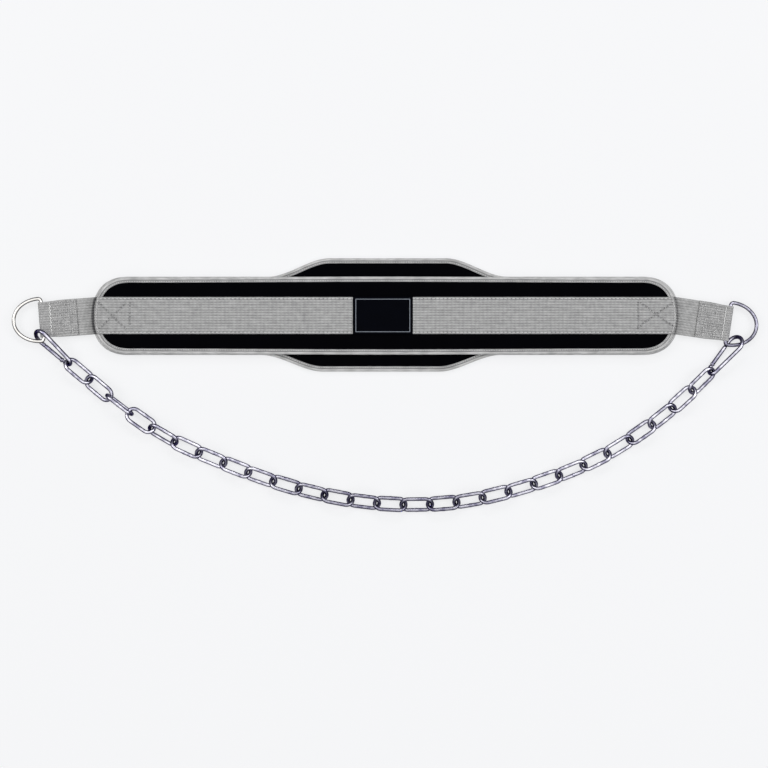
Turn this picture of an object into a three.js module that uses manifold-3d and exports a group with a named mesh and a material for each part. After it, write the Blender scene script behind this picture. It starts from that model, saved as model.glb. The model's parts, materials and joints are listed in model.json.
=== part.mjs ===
// Dip belt: a padded lifting belt with a steel chain, lying flat with its label up.
// Millimetres. +X runs along the belt, +Z up, and the belt rests on the plane z = 0.
// Two bound panels lie on each other, webbing tails come out from between them and hold
// D-rings, and a chain of 27 links hangs in a bow between two snap hooks.

import * as THREE from 'three';
import { mergeVertices } from 'three/addons/utils/BufferGeometryUtils.js';
import Module from 'manifold-3d';

const wasm = await Module();
wasm.setup();

// Driving dimensions

const GAP = 0.3;                    // clearance between pieces that touch

const FRONT_LENGTH = 786;
const FRONT_HEIGHT = 103;
const FRONT_THICKNESS = 8.2;
const FRONT_EDGE_THICKNESS = 3.5;   // where the binding pinches the padding
const FRONT_BELLY = 1.2;            // how much higher each edge stands in the middle

const BACK_LENGTH = 794;
const BACK_NARROW_HEIGHT = 106;
const BACK_WIDE_ABOVE = 78;         // wide part's edge, above and below the centre line
const BACK_WIDE_BELOW = 75.5;
const BACK_SHIFT_ABOVE = 3;         // the wide part's middle, along the belt
const BACK_SHIFT_BELOW = -6;
const BACK_FLAT_LENGTH = 157;       // the wide part's straight edge
const BACK_SLOPE_LENGTH = 84;       // from the straight edge down to the narrow part
const BACK_THICKNESS = 9;
const BACK_EDGE_THICKNESS = 4;

const END_DEPTH = 50;               // length of the rounded ends of both panels
const END_POWER = 2.4;              // 2 is an ellipse, more is squarer

const BINDING_WIDTH = 8;
const BINDING_WALL = 1.2;
const BINDING_ROUND = 0.9;
const SHOULDER_RUN = 9;             // from the binding's edge to the full thickness

const WEBBING_WIDTH = 50;
const WEBBING_THICKNESS = 1.8;
const WEBBING_INSET = 0.8;          // its ends stop this far inside the front panel's outline
const LABEL_LENGTH = 81;
const LABEL_HEIGHT = 49;
const LABEL_SHIFT = -3.5;           // its middle, along the belt
const LABEL_THICKNESS = 1;

const TAIL_THICKNESS = 1.7;         // one layer
const TAIL_LENGTH = 71;             // from the front panel's end to the ring's bar
const TAIL_TUCK = 45;               // sewn in between the panels
const TAIL_FOLD_LENGTH = 53;        // the layer that comes back from the ring
const SEWN_RUN = 30;                // length over which the panels thin towards the tails
const SEWN_MARGIN = 8;              // flat stretch beyond the tucked end of a tail

const RING_INSIDE = 52.5;           // clear width for the webbing
const RING_WIRE = 5;
const RING_DEPTH = 39;              // bar to far end, between wire centres

const HOOK_LENGTH = 68;             // overall
const HOOK_WIRE = 5.5;
const HOOK_WIDE_OPENING = 18;       // clear width at the ring's end
const HOOK_NARROW_OPENING = 7.5;    // clear width at the chain's end
const HOOK_NOSE = 8;                // straight stretch of the nose before the gate
const PIVOT_HEIGHT = 6;             // gate's pivot, up from the narrow bend
const TANG_THICKNESS = 2;
const RIVET_RADIUS = 0.9;
const RIVET_HEAD_RADIUS = 1.5;
const RIVET_HEAD_THICKNESS = 0.6;

const LINK_COUNT = 27;
const LINK_WIRE = 5.2;
const LINK_WIDTH = 24;              // outside
const LINK_INSIDE_LENGTH = 36.9;
const LINK_PLAY = 1;                // looseness between two links
const LINK_ROLL = 36;               // links lie over to alternate sides by this angle

// Chosen values of the two ends: turn of the tail in plan, tilt of the ring down to its far
// end, the place of the hook on the ring (share of the way from the bar to the far end),
// the hook's heading in plan, its roll, and the height of its wide end above the ground.
const ENDS = [
  { side: 'left', out: -1, turn: 4.4, tilt: 1, seat: 0.01, heading: 136.2, roll: -55, height: 12.4 },
  { side: 'right', out: 1, turn: -8.5, tilt: 3, seat: 0.25, heading: 49.4, roll: -50, height: 12.1 },
];
const HOOK_SEAT_SHIFT = -1;         // ring wire's centre, from the wide bend's centre to the crown
const HOOK_JOINT_HEIGHT = 9.3;      // height of the chain's two end joints

// The bow that the chain lies in, as chosen points: share of the span from hook to hook,
// and share of the bow's greatest depth.
const CHAIN_ROUTE = [
  { span: 0, depth: 0 },
  { span: 0.073, depth: 0.276 },
  { span: 0.151, depth: 0.526 },
  { span: 0.233, depth: 0.696 },
  { span: 0.357, depth: 0.892 },
  { span: 0.482, depth: 0.993 },
  { span: 0.604, depth: 0.979 },
  { span: 0.718, depth: 0.851 },
  { span: 0.823, depth: 0.652 },
  { span: 0.887, depth: 0.467 },
  { span: 0.946, depth: 0.249 },
  { span: 1, depth: 0 },
];

// Links that don't lean like the rest, near the hooks.
const SPECIAL_ROLLS = [
  { link: 1, roll: -40 },
  { link: 2, roll: 27 },
  { link: 3, roll: 94 },
  { link: 4, roll: -20 },
  { link: 5, roll: 50 },
  { link: 27, roll: 41 },
];

// Facets
const END_STEPS = 8;
const WIRE_SIDES = 8;
const PIN_SIDES = 12;
const LINK_SIDES = 6;
const LINK_CROWN_STEPS = 5;
const CROWN_STEPS = 10;
const CORNER_STEPS = 3;
const RING_ARC_STEPS = 14;
const LOOP_STEPS = 14;
const ROUTE_STEPS = 1200;

// Materials

const black = new THREE.MeshStandardMaterial({ color: 0x08080b, roughness: 0.9, metalness: 0 });
const tape = new THREE.MeshStandardMaterial({ color: 0xa8a8a6, roughness: 0.85, metalness: 0 });
const webbing = new THREE.MeshStandardMaterial({ color: 0x9c9c9b, roughness: 0.85, metalness: 0 });
const satin = new THREE.MeshStandardMaterial({ color: 0x06070c, roughness: 0.6, metalness: 0 });
const chrome = new THREE.MeshStandardMaterial({ color: 0xd8d6d0, roughness: 0.15, metalness: 1 });
const steel = new THREE.MeshStandardMaterial({ color: 0xb9b7c6, roughness: 0.22, metalness: 1 });

// Levels above the ground, worked out from the thicknesses

const seam = BINDING_WALL + GAP;                              // a bound edge's inset in its tape
const backBindingHeight = BACK_EDGE_THICKNESS + 2 * seam;
const frontBindingHeight = FRONT_EDGE_THICKNESS + 2 * seam;
const tailBottom = backBindingHeight + GAP;
const tailTop = tailBottom + 2 * TAIL_THICKNESS;
const barHeight = tailBottom + TAIL_THICKNESS;
const frontBottom = BACK_THICKNESS + GAP;
const frontTop = frontBottom + FRONT_THICKNESS;
const sewnLift = tailTop + GAP - frontBottom;                 // front panel's underside over a tail
const sewnDrop = BACK_THICKNESS + GAP - tailBottom;           // back panel's top under a tail
const webbingBottom = Math.max(frontTop, frontBottom + sewnLift + frontBindingHeight) + GAP;
const webbingTop = webbingBottom + WEBBING_THICKNESS;

const radians = THREE.MathUtils.degToRad;

// 0 before the start, 1 after the end, and smooth in between.
function ease(value, start, end) {
  return THREE.MathUtils.smoothstep(value, start, end);
}

// How far the panels are sewn down onto the tails at this place along the belt.
function sewn(x) {
  const flat = FRONT_LENGTH / 2 - TAIL_TUCK - SEWN_MARGIN;
  return ease(Math.abs(x), flat - SEWN_RUN, flat);
}

// Meshes from loops of points

// Joins loops of equally many points into a closed skin. caps says how the first and last
// loops are closed: 'fan' for a convex loop, 'strip' for a panel's loop, and with 'ring'
// the last loop joins the first instead.
function skin(loops, caps) {
  const size = loops[0].length;
  const positions = loops.flat().flatMap((point) => [point.x, point.y, point.z]);
  const faces = [];
  const bands = caps === 'ring' ? loops.length : loops.length - 1;
  for (let band = 0; band < bands; band += 1) {
    const near = band * size;
    const far = ((band + 1) % loops.length) * size;
    for (let i = 0; i < size; i += 1) {
      const next = (i + 1) % size;
      faces.push([near + i, near + next, far + next], [near + i, far + next, far + i]);
    }
  }
  const capFaces = { fan: fanFaces, strip: stripFaces, ring: () => [] }[caps](size);
  const last = (loops.length - 1) * size;
  for (const [a, b, c] of capFaces) {
    faces.push([a, c, b], [last + a, last + b, last + c]);
  }
  const geometry = new THREE.BufferGeometry();
  geometry.setAttribute('position', new THREE.Float32BufferAttribute(positions, 3));
  geometry.setIndex(faces.flat());
  return facingOut(geometry);
}

function fanFaces(size) {
  const faces = [];
  for (let i = 1; i < size - 1; i += 1) {
    faces.push([0, i, i + 1]);
  }
  return faces;
}

// A panel's loop starts at its left tip, runs along the lower edge to the right tip and
// back along the upper edge, so equal places along both edges face each other.
function stripFaces(size) {
  const faces = [[0, 1, size - 1]];
  for (let i = 1; i < size / 2 - 1; i += 1) {
    faces.push([i, i + 1, size - i - 1], [i, size - i - 1, size - i]);
  }
  faces.push([size / 2 - 1, size / 2, size / 2 + 1]);
  return faces;
}

// Turns all faces over if the mesh encloses a negative volume.
function facingOut(geometry) {
  const place = geometry.getAttribute('position');
  const order = geometry.getIndex();
  const corner = [new THREE.Vector3(), new THREE.Vector3(), new THREE.Vector3()];
  let volume = 0;
  for (let i = 0; i < order.count; i += 3) {
    corner.forEach((point, k) => point.fromBufferAttribute(place, order.getX(i + k)));
    volume += corner[0].dot(corner[1].clone().cross(corner[2]));
  }
  if (volume < 0) {
    for (let i = 0; i < order.count; i += 3) {
      const first = order.getX(i);
      order.setX(i, order.getX(i + 1));
      order.setX(i + 1, first);
    }
  }
  geometry.computeVertexNormals();
  return geometry;
}

// A round wire along a flat path in the x-y plane.
function wire(path, radius, sides, closed) {
  const count = path.length;
  const loops = path.map((point, i) => {
    const before = closed || i > 0 ? path[(i + count - 1) % count] : point;
    const after = closed || i < count - 1 ? path[(i + 1) % count] : point;
    const along = after.clone().sub(before).normalize();
    const loop = [];
    for (let side = 0; side < sides; side += 1) {
      const angle = ((side + 0.5) / sides) * 2 * Math.PI;
      const across = radius * Math.cos(angle);
      loop.push(new THREE.Vector3(
        point.x - along.y * across,
        point.y + along.x * across,
        radius * Math.sin(angle),
      ));
    }
    return loop;
  });
  return skin(loops, closed ? 'ring' : 'fan');
}

function arc(centre, radiusX, radiusY, fromAngle, toAngle, steps) {
  const points = [];
  for (let i = 0; i <= steps; i += 1) {
    const angle = radians(fromAngle + ((toAngle - fromAngle) * i) / steps);
    const x = centre.x + radiusX * Math.cos(angle);
    const y = centre.y + radiusY * Math.sin(angle);
    points.push(new THREE.Vector2(x, y));
  }
  return points;
}

// Solids that are joined and cut

function toSolid(geometry) {
  const bare = geometry.clone();
  bare.deleteAttribute('normal');
  bare.deleteAttribute('uv');
  const merged = mergeVertices(bare, 1e-4);
  return new wasm.Manifold(new wasm.Mesh({
    numProp: 3,
    vertProperties: new Float32Array(merged.getAttribute('position').array),
    triVerts: new Uint32Array(merged.getIndex().array),
  }));
}

function toGeometry(solid) {
  const mesh = solid.getMesh();
  const geometry = new THREE.BufferGeometry();
  geometry.setAttribute('position', new THREE.Float32BufferAttribute(mesh.vertProperties, 3));
  geometry.setIndex(Array.from(mesh.triVerts));
  geometry.computeVertexNormals();
  return geometry;
}

// A pin along z, standing on both sides of the x-y plane.
function pin(centre, radius, length, sides) {
  const geometry = new THREE.CylinderGeometry(radius, radius, length, sides);
  geometry.rotateX(Math.PI / 2);
  geometry.translate(centre.x, centre.y, 0);
  return geometry;
}

// Panels and their bindings

// Places along a panel at which its edges have points: close together round the ends
// and at the given places, with the tips first and last.
function stations(length, places) {
  const straight = length / 2 - END_DEPTH;
  const list = [...places];
  for (let i = 0; i <= END_STEPS; i += 1) {
    const x = straight + END_DEPTH * Math.sin((i / END_STEPS) * (Math.PI / 2));
    list.push(x, -x);
  }
  return list.sort((a, b) => a - b);
}

// Share of its full height that a panel with rounded ends has here.
function endShare(x, length) {
  const reach = Math.max(0, (Math.abs(x) - (length / 2 - END_DEPTH)) / END_DEPTH);
  return (1 - Math.min(1, reach) ** END_POWER) ** (1 / END_POWER);
}

// The closed outline through a panel's lower and upper edges, with outward normals.
function outline(length, places, below, above) {
  const list = stations(length, places);
  const lower = list.map((x) => new THREE.Vector2(x, -below(x) * endShare(x, length)));
  const upper = list.map((x) => new THREE.Vector2(x, above(x) * endShare(x, length)));
  const points = [...lower, ...upper.slice(1, -1).reverse()];
  const count = points.length;
  return points.map((point, i) => {
    const along = points[(i + 1) % count].clone().sub(points[(i + count - 1) % count]);
    along.normalize();
    return { point, normal: new THREE.Vector2(along.y, -along.x) };
  });
}

// The outline moved inwards, at a height that may change along the belt.
function inset(edge, distance, height) {
  return edge.map(({ point, normal }) => {
    const place = point.clone().addScaledVector(normal, -distance);
    return new THREE.Vector3(place.x, place.y, height(place.x));
  });
}

// A padded panel: thin where its binding grips it, and full thickness past its shoulder.
// levels gives the heights of the pinched edge and of the full body, below and above.
function panel(edge, levels) {
  const grip = BINDING_WIDTH + GAP;
  const shoulder = [
    { run: 0, rise: 0 },
    { run: 0.32, rise: 0.66 },
    { run: 1, rise: 1 },
  ];
  const side = (edgeHeight, bodyHeight) => shoulder.map(({ run, rise }) => inset(
    edge,
    grip + run * SHOULDER_RUN,
    (x) => edgeHeight(x) + rise * (bodyHeight(x) - edgeHeight(x)),
  ));
  const loops = [
    ...side(levels.edgeTop, levels.bodyTop).reverse(),
    inset(edge, seam, levels.edgeTop),
    inset(edge, seam, levels.edgeBottom),
    ...side(levels.edgeBottom, levels.bodyBottom),
  ];
  return skin(loops, 'strip');
}

// A tape folded round the panel's edge, a U in section.
function binding(edge, bottom, height) {
  const section = [
    { across: -BINDING_WIDTH, up: 0 },
    { across: -BINDING_ROUND, up: 0 },
    { across: 0, up: BINDING_ROUND },
    { across: 0, up: height - BINDING_ROUND },
    { across: -BINDING_ROUND, up: height },
    { across: -BINDING_WIDTH, up: height },
    { across: -BINDING_WIDTH, up: height - BINDING_WALL },
    { across: -BINDING_WALL, up: height - BINDING_WALL },
    { across: -BINDING_WALL, up: BINDING_WALL },
    { across: -BINDING_WIDTH, up: BINDING_WALL },
  ];
  const loops = edge.map(({ point, normal }) => section.map(({ across, up }) => {
    const place = point.clone().addScaledVector(normal, across);
    return new THREE.Vector3(place.x, place.y, bottom(point.x) + up);
  }));
  return skin(loops, 'ring');
}

function evenPlaces(reach, count) {
  return Array.from({ length: count }, (unused, i) => -reach + (2 * reach * i) / (count - 1));
}

// Places where the sewn stretches of both panels begin and end.
function sewnPlaces() {
  const flat = FRONT_LENGTH / 2 - TAIL_TUCK - SEWN_MARGIN;
  const places = [flat - SEWN_RUN, flat - SEWN_RUN / 2, flat];
  return [...places, ...places.map((x) => -x)];
}

const frontStraight = FRONT_LENGTH / 2 - END_DEPTH;
const frontHalf = (x) => FRONT_HEIGHT / 2 + FRONT_BELLY * (1 - ease(Math.abs(x), 0, frontStraight));
const frontPlaces = [...evenPlaces(frontStraight * 0.72, 9), ...sewnPlaces()];
const frontEdge = outline(FRONT_LENGTH, frontPlaces, frontHalf, frontHalf);

const swell = (x) => 1 - ease(
  Math.abs(x),
  BACK_FLAT_LENGTH / 2,
  BACK_FLAT_LENGTH / 2 + BACK_SLOPE_LENGTH,
);
const backHalf = (wide, shift) => (x) => {
  const narrow = BACK_NARROW_HEIGHT / 2;
  return narrow + (wide - narrow) * swell(x - shift);
};
const slopePlaces = Array.from({ length: 8 }, (unused, i) => (
  BACK_FLAT_LENGTH / 2 + (BACK_SLOPE_LENGTH * i) / 7
));
const backPlaces = [0, ...slopePlaces, ...slopePlaces.map((x) => -x), ...sewnPlaces()];
const backEdge = outline(
  BACK_LENGTH,
  backPlaces,
  backHalf(BACK_WIDE_BELOW, BACK_SHIFT_BELOW),
  backHalf(BACK_WIDE_ABOVE, BACK_SHIFT_ABOVE),
);

function backPanel() {
  return panel(backEdge, {
    edgeBottom: () => seam,
    edgeTop: () => seam + BACK_EDGE_THICKNESS,
    bodyBottom: () => 0,
    bodyTop: (x) => BACK_THICKNESS - sewnDrop * sewn(x),
  });
}

const frontBindingBottom = (x) => frontBottom + sewnLift * sewn(x);

function frontPanel() {
  return panel(frontEdge, {
    edgeBottom: (x) => frontBindingBottom(x) + seam,
    edgeTop: (x) => frontBindingBottom(x) + seam + FRONT_EDGE_THICKNESS,
    bodyBottom: frontBindingBottom,
    bodyTop: () => frontTop,
  });
}

// The webbing on the front panel, cut to the panel's curve at both ends.
function frontWebbing() {
  const half = WEBBING_WIDTH / 2;
  const reach = (y) => {
    const share = Math.abs(y) / (FRONT_HEIGHT / 2);
    return frontStraight + END_DEPTH * (1 - share ** END_POWER) ** (1 / END_POWER) - WEBBING_INSET;
  };
  const rows = evenPlaces(half, 9);
  const right = rows.map((y) => new THREE.Vector2(reach(y), y));
  const left = rows.reverse().map((y) => new THREE.Vector2(-reach(y), y));
  const shape = new THREE.Shape([...right, ...left]);
  return new THREE.ExtrudeGeometry(shape, { depth: WEBBING_THICKNESS, bevelEnabled: false });
}

// A tail in its own frame: x runs outwards from the panel's end, z is the height over the
// ground. It is drawn from the side: a layer below, the layer that comes back above it,
// and the fold round the ring's bar with the bar's hole.
function tail() {
  const hole = RING_WIRE / 2 + GAP;
  const fold = hole + TAIL_THICKNESS;
  const meet = Math.asin(TAIL_THICKNESS / fold);
  const joinX = TAIL_LENGTH - fold * Math.cos(meet);
  const angles = Array.from({ length: LOOP_STEPS + 1 }, (unused, i) => (
    -Math.PI + meet + ((2 * Math.PI - 2 * meet) * i) / LOOP_STEPS
  ));
  const round = angles.map((angle) => new THREE.Vector2(
    TAIL_LENGTH + fold * Math.cos(angle),
    barHeight + fold * Math.sin(angle),
  ));
  const shape = new THREE.Shape([
    new THREE.Vector2(-TAIL_TUCK, tailBottom),
    ...round,
    new THREE.Vector2(TAIL_LENGTH - TAIL_FOLD_LENGTH, tailTop),
    new THREE.Vector2(TAIL_LENGTH - TAIL_FOLD_LENGTH, barHeight),
    new THREE.Vector2(-TAIL_TUCK, barHeight),
  ]);
  const opening = new THREE.Path();
  opening.absarc(TAIL_LENGTH, barHeight, hole, 0, 2 * Math.PI, true);
  shape.holes.push(opening);
  const geometry = new THREE.ExtrudeGeometry(shape, {
    depth: WEBBING_WIDTH,
    bevelEnabled: false,
    curveSegments: LOOP_STEPS,
  });
  geometry.translate(0, 0, -WEBBING_WIDTH / 2);
  geometry.rotateX(Math.PI / 2);
  return geometry;
}

// Rings

const ringHalf = (RING_INSIDE + RING_WIRE) / 2;
const ringCorner = ringHalf - WEBBING_WIDTH / 2;               // the bar is straight in the webbing

// Half of a D-ring's centre line from the bar's end round to the far end: x runs outwards
// from the bar, y along it.
function ringHalfPath() {
  const corner = new THREE.Vector2(ringCorner, -ringHalf + ringCorner);
  const bend = arc(corner, ringCorner, ringCorner, 180, 270, CORNER_STEPS);
  const middle = new THREE.Vector2(ringCorner, 0);
  const bow = arc(middle, RING_DEPTH - ringCorner, ringHalf, -90, 0, RING_ARC_STEPS / 2);
  return [...bend, ...bow.slice(1)];
}

function ringPath() {
  const half = ringHalfPath();
  const other = half.slice(0, -1).reverse().map((point) => new THREE.Vector2(point.x, -point.y));
  return [...half, ...other];
}

// The point at a share of the length of that half path.
function ringPoint(share) {
  const curve = new THREE.CurvePath();
  const half = ringHalfPath();
  half.slice(1).forEach((point, i) => curve.add(new THREE.LineCurve(half[i], point)));
  return curve.getPointAt(share);
}

// Hooks

const hookRadius = HOOK_WIRE / 2;
const wideBend = HOOK_WIDE_OPENING / 2 + hookRadius;
const narrowBend = HOOK_NARROW_OPENING / 2 + hookRadius;
const bendDistance = HOOK_LENGTH - wideBend - narrowBend - HOOK_WIRE;
const taper = Math.asin((wideBend - narrowBend) / bendDistance);
const legLength = bendDistance * Math.cos(taper);
const pivotReach = hookRadius + GAP;
const rivetHole = (RIVET_RADIUS + GAP) / Math.cos(Math.PI / PIN_SIDES);

// A hook lies in its own x-y plane with the narrow bend's centre at the origin, the wide
// bend's centre on +X, and the gate on the +Y side. Its legs lean apart by the taper.
function legPoint(height) {
  const foot = new THREE.Vector2(-Math.sin(taper), Math.cos(taper)).multiplyScalar(narrowBend);
  const along = new THREE.Vector2(Math.cos(taper), Math.sin(taper));
  return foot.addScaledVector(along, height);
}

const pivot = legPoint(PIVOT_HEIGHT);
const noseEnd = legLength - HOOK_NOSE;

function leaning(geometry) {
  geometry.rotateZ(taper);
  geometry.translate(pivot.x, pivot.y, 0);
  return geometry;
}

// A block in the leg's direction, from one distance to another past the pivot.
function legBlock(from, to, low, high) {
  const geometry = new THREE.BoxGeometry(to - from, 4 * HOOK_WIRE, high - low);
  geometry.translate((from + to) / 2, 0, (low + high) / 2);
  return toSolid(leaning(geometry));
}

function hookBody() {
  const lean = THREE.MathUtils.radToDeg(taper);
  const wideCentre = new THREE.Vector2(bendDistance, 0);
  const narrowCentre = new THREE.Vector2(0, 0);
  const wide = arc(wideCentre, wideBend, wideBend, 90 + lean, -90 - lean, CROWN_STEPS);
  const narrow = arc(narrowCentre, narrowBend, narrowBend, 270 - lean, 90 + lean, CROWN_STEPS);
  const path = [legPoint(noseEnd), ...wide, ...narrow, pivot];
  const wireSolid = toSolid(wire(path, hookRadius, WIRE_SIDES, false));
  const eye = toSolid(pin(pivot, hookRadius, HOOK_WIRE, PIN_SIDES));
  const hole = toSolid(pin(pivot, rivetHole, 2 * HOOK_WIRE, PIN_SIDES));
  const half = TANG_THICKNESS / 2;
  const above = legBlock(-pivotReach, pivotReach, half, HOOK_WIRE);
  const below = legBlock(-pivotReach, pivotReach, -HOOK_WIRE, -half);
  return toGeometry(wireSolid.add(eye).subtract(above).subtract(below).subtract(hole));
}

// The gate is placed on its pivot, so it is drawn round the origin along +X.
function gate() {
  const origin = new THREE.Vector2(0, 0);
  const end = new THREE.Vector2(noseEnd - PIVOT_HEIGHT - GAP, 0);
  const rod = toSolid(wire([origin, end], hookRadius, WIRE_SIDES, false));
  const eye = toSolid(pin(origin, hookRadius, HOOK_WIRE, PIN_SIDES));
  const hole = toSolid(pin(origin, rivetHole, 2 * HOOK_WIRE, PIN_SIDES));
  const slotWidth = TANG_THICKNESS + 2 * GAP;
  const slotBox = new THREE.BoxGeometry(2 * pivotReach, 2 * HOOK_WIRE, slotWidth);
  return toGeometry(rod.add(eye).subtract(toSolid(slotBox)).subtract(hole));
}

function rivet() {
  const shank = HOOK_WIRE / 2 + GAP;
  const top = shank + RIVET_HEAD_THICKNESS;
  const profile = [
    new THREE.Vector2(0, -top),
    new THREE.Vector2(RIVET_HEAD_RADIUS, -top),
    new THREE.Vector2(RIVET_HEAD_RADIUS, -shank),
    new THREE.Vector2(RIVET_RADIUS, -shank),
    new THREE.Vector2(RIVET_RADIUS, shank),
    new THREE.Vector2(RIVET_HEAD_RADIUS, shank),
    new THREE.Vector2(RIVET_HEAD_RADIUS, top),
    new THREE.Vector2(0, top),
  ];
  const geometry = new THREE.LatheGeometry(profile, WIRE_SIDES);
  geometry.rotateX(Math.PI / 2);
  return geometry;
}

// Chain

const pitch = LINK_INSIDE_LENGTH - LINK_PLAY;
const linkBend = (LINK_WIDTH - LINK_WIRE) / 2;

function link() {
  const reach = (LINK_INSIDE_LENGTH + LINK_WIRE) / 2 - linkBend;
  const right = arc(new THREE.Vector2(reach, 0), linkBend, linkBend, -90, 90, LINK_CROWN_STEPS);
  const left = arc(new THREE.Vector2(-reach, 0), linkBend, linkBend, 90, 270, LINK_CROWN_STEPS);
  return wire([...right, ...left], LINK_WIRE / 2, LINK_SIDES, true);
}

function linkRoll(number) {
  const special = SPECIAL_ROLLS.find((row) => row.link === number);
  return special ? special.roll : LINK_ROLL * (number % 2 === 0 ? -1 : 1);
}

// Height of a link's centre line when it rests on the ground on one leg.
function linkRest(number) {
  return linkBend * Math.abs(Math.sin(radians(linkRoll(number)))) + LINK_WIRE / 2;
}

// Heights of the joints between links, high enough for both links that meet there.
function jointHeights() {
  const inner = Array.from({ length: LINK_COUNT - 1 }, (unused, i) => (
    Math.max(linkRest(i + 1), linkRest(i + 2))
  ));
  return [HOOK_JOINT_HEIGHT, ...inner, HOOK_JOINT_HEIGHT];
}

// The bow's route in plan between two points, for a given depth.
function route(start, end, depth) {
  const span = end.clone().sub(start);
  const down = new THREE.Vector2(span.y, -span.x).normalize();
  const points = CHAIN_ROUTE.map((row) => {
    const place = start.clone().addScaledVector(span, row.span);
    place.addScaledVector(down, row.depth * depth);
    return new THREE.Vector3(place.x, place.y, 0);
  });
  return new THREE.CatmullRomCurve3(points, false, 'centripetal').getPoints(ROUTE_STEPS);
}

// Joints at equal steps along the route, as far as they go, and what the last step misses.
function walk(points, heights) {
  const joints = [points[0].clone()];
  let index = 0;
  for (let i = 1; i < LINK_COUNT; i += 1) {
    const step = Math.sqrt(pitch ** 2 - (heights[i] - heights[i - 1]) ** 2);
    const from = joints[i - 1];
    while (index < points.length - 2 && points[index + 1].distanceTo(from) < step) {
      index += 1;
    }
    const near = points[index];
    const far = points[index + 1];
    const nearDistance = near.distanceTo(from);
    const share = (step - nearDistance) / (far.distanceTo(from) - nearDistance);
    joints.push(near.clone().lerp(far, share));
  }
  const last = points[points.length - 1];
  joints.push(last.clone());
  const rise = heights[LINK_COUNT] - heights[LINK_COUNT - 1];
  const left = last.clone().sub(joints[LINK_COUNT - 1]);
  const forward = last.clone().sub(points[points.length - 2]).dot(left) >= 0 ? 1 : -1;
  return { joints, miss: forward * left.length() - Math.sqrt(pitch ** 2 - rise ** 2) };
}

// The bow's depth follows from the chain's length: it is halved in on until 27 equal
// steps reach from one hook to the other.
function chainJoints(start, end) {
  const heights = jointHeights();
  const span = end.distanceTo(start);
  let shallow = 0;
  let deep = span;
  for (let i = 0; i < 40; i += 1) {
    const depth = (shallow + deep) / 2;
    if (walk(route(start, end, depth), heights).miss > 0) {
      deep = depth;
    } else {
      shallow = depth;
    }
  }
  const { joints } = walk(route(start, end, (shallow + deep) / 2), heights);
  joints.forEach((joint, i) => joint.setZ(heights[i]));
  return joints;
}

// Assembly

const belt = new THREE.Group();

function add(parent, name, geometry, material) {
  const mesh = new THREE.Mesh(geometry, material);
  mesh.name = name;
  parent.add(mesh);
  return mesh;
}

// Turns an object so that its x axis points along a direction, rolled about it from level.
function aim(object, direction, roll) {
  const along = direction.clone().normalize();
  const level = new THREE.Vector3(-along.y, along.x, 0).normalize();
  const upright = along.clone().cross(level);
  const across = level.multiplyScalar(Math.cos(radians(roll)));
  across.addScaledVector(upright, Math.sin(radians(roll)));
  const third = along.clone().cross(across);
  object.quaternion.setFromRotationMatrix(new THREE.Matrix4().makeBasis(along, across, third));
}

add(belt, 'back_panel', backPanel(), black);
add(belt, 'back_binding', binding(backEdge, () => 0, backBindingHeight), tape);
add(belt, 'front_panel', frontPanel(), black);
add(belt, 'front_binding', binding(frontEdge, frontBindingBottom, frontBindingHeight), tape);
add(belt, 'front_webbing', frontWebbing(), webbing).position.z = webbingBottom;
const labelShape = new THREE.BoxGeometry(LABEL_LENGTH, LABEL_HEIGHT, LABEL_THICKNESS);
const labelHeight = webbingTop + GAP + LABEL_THICKNESS / 2;
add(belt, 'label', labelShape, satin).position.set(LABEL_SHIFT, 0, labelHeight);

// A tail with its ring and hook. Returns the joint where the chain meets the hook.
function beltEnd({ side, out, turn, tilt, seat, heading, roll, height }) {
  const end = new THREE.Group();
  end.position.x = (out * FRONT_LENGTH) / 2;
  end.rotation.z = radians(turn) + (out < 0 ? Math.PI : 0);
  add(end, `tail_${side}`, tail(), webbing);
  const ringGeometry = wire(ringPath(), RING_WIRE / 2, WIRE_SIDES, true);
  const ring = add(end, `d_ring_${side}`, ringGeometry, chrome);
  ring.position.set(TAIL_LENGTH, 0, barHeight);
  ring.rotation.y = radians(tilt);
  belt.add(end);
  belt.updateMatrixWorld(true);

  const near = ringPoint(seat);
  const held = ring.localToWorld(new THREE.Vector3(near.x, out * near.y, 0));
  const plan = new THREE.Vector3(Math.cos(radians(heading)), Math.sin(radians(heading)), 0);
  const wideCentre = held.clone().addScaledVector(plan, -HOOK_SEAT_SHIFT).setZ(height);
  const toJoint = narrowBend - hookRadius - GAP / 2;
  const reach = bendDistance + toJoint;
  const rise = height - HOOK_JOINT_HEIGHT;
  const direction = plan.multiplyScalar(Math.sqrt(reach ** 2 - rise ** 2)).setZ(rise).normalize();
  const hook = new THREE.Group();
  hook.position.copy(wideCentre).addScaledVector(direction, -bendDistance);
  aim(hook, direction, roll);
  add(hook, `hook_${side}`, hookBody(), steel);
  const leaf = add(hook, `gate_${side}`, gate(), steel);
  leaf.position.set(pivot.x, pivot.y, 0);
  leaf.rotation.z = taper;
  add(hook, `rivet_${side}`, rivet(), steel).position.set(pivot.x, pivot.y, 0);
  belt.add(hook);
  return wideCentre.addScaledVector(direction, -reach);
}

const [leftJoint, rightJoint] = ENDS.map(beltEnd);

const joints = chainJoints(
  new THREE.Vector2(leftJoint.x, leftJoint.y),
  new THREE.Vector2(rightJoint.x, rightJoint.y),
);
const linkGeometry = link();
for (let number = 1; number <= LINK_COUNT; number += 1) {
  const from = joints[number - 1];
  const to = joints[number];
  const name = `link_${String(number).padStart(2, '0')}`;
  const piece = add(belt, name, linkGeometry, steel);
  piece.position.copy(from).lerp(to, 0.5);
  aim(piece, to.clone().sub(from), linkRoll(number));
}

// The origin is on the ground under the middle of the whole belt.
belt.updateMatrixWorld(true);
const box = new THREE.Box3().setFromObject(belt, true);
const middle = box.getCenter(new THREE.Vector3());
belt.position.set(-middle.x, -middle.y, -box.min.z);

export default belt;
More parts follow.
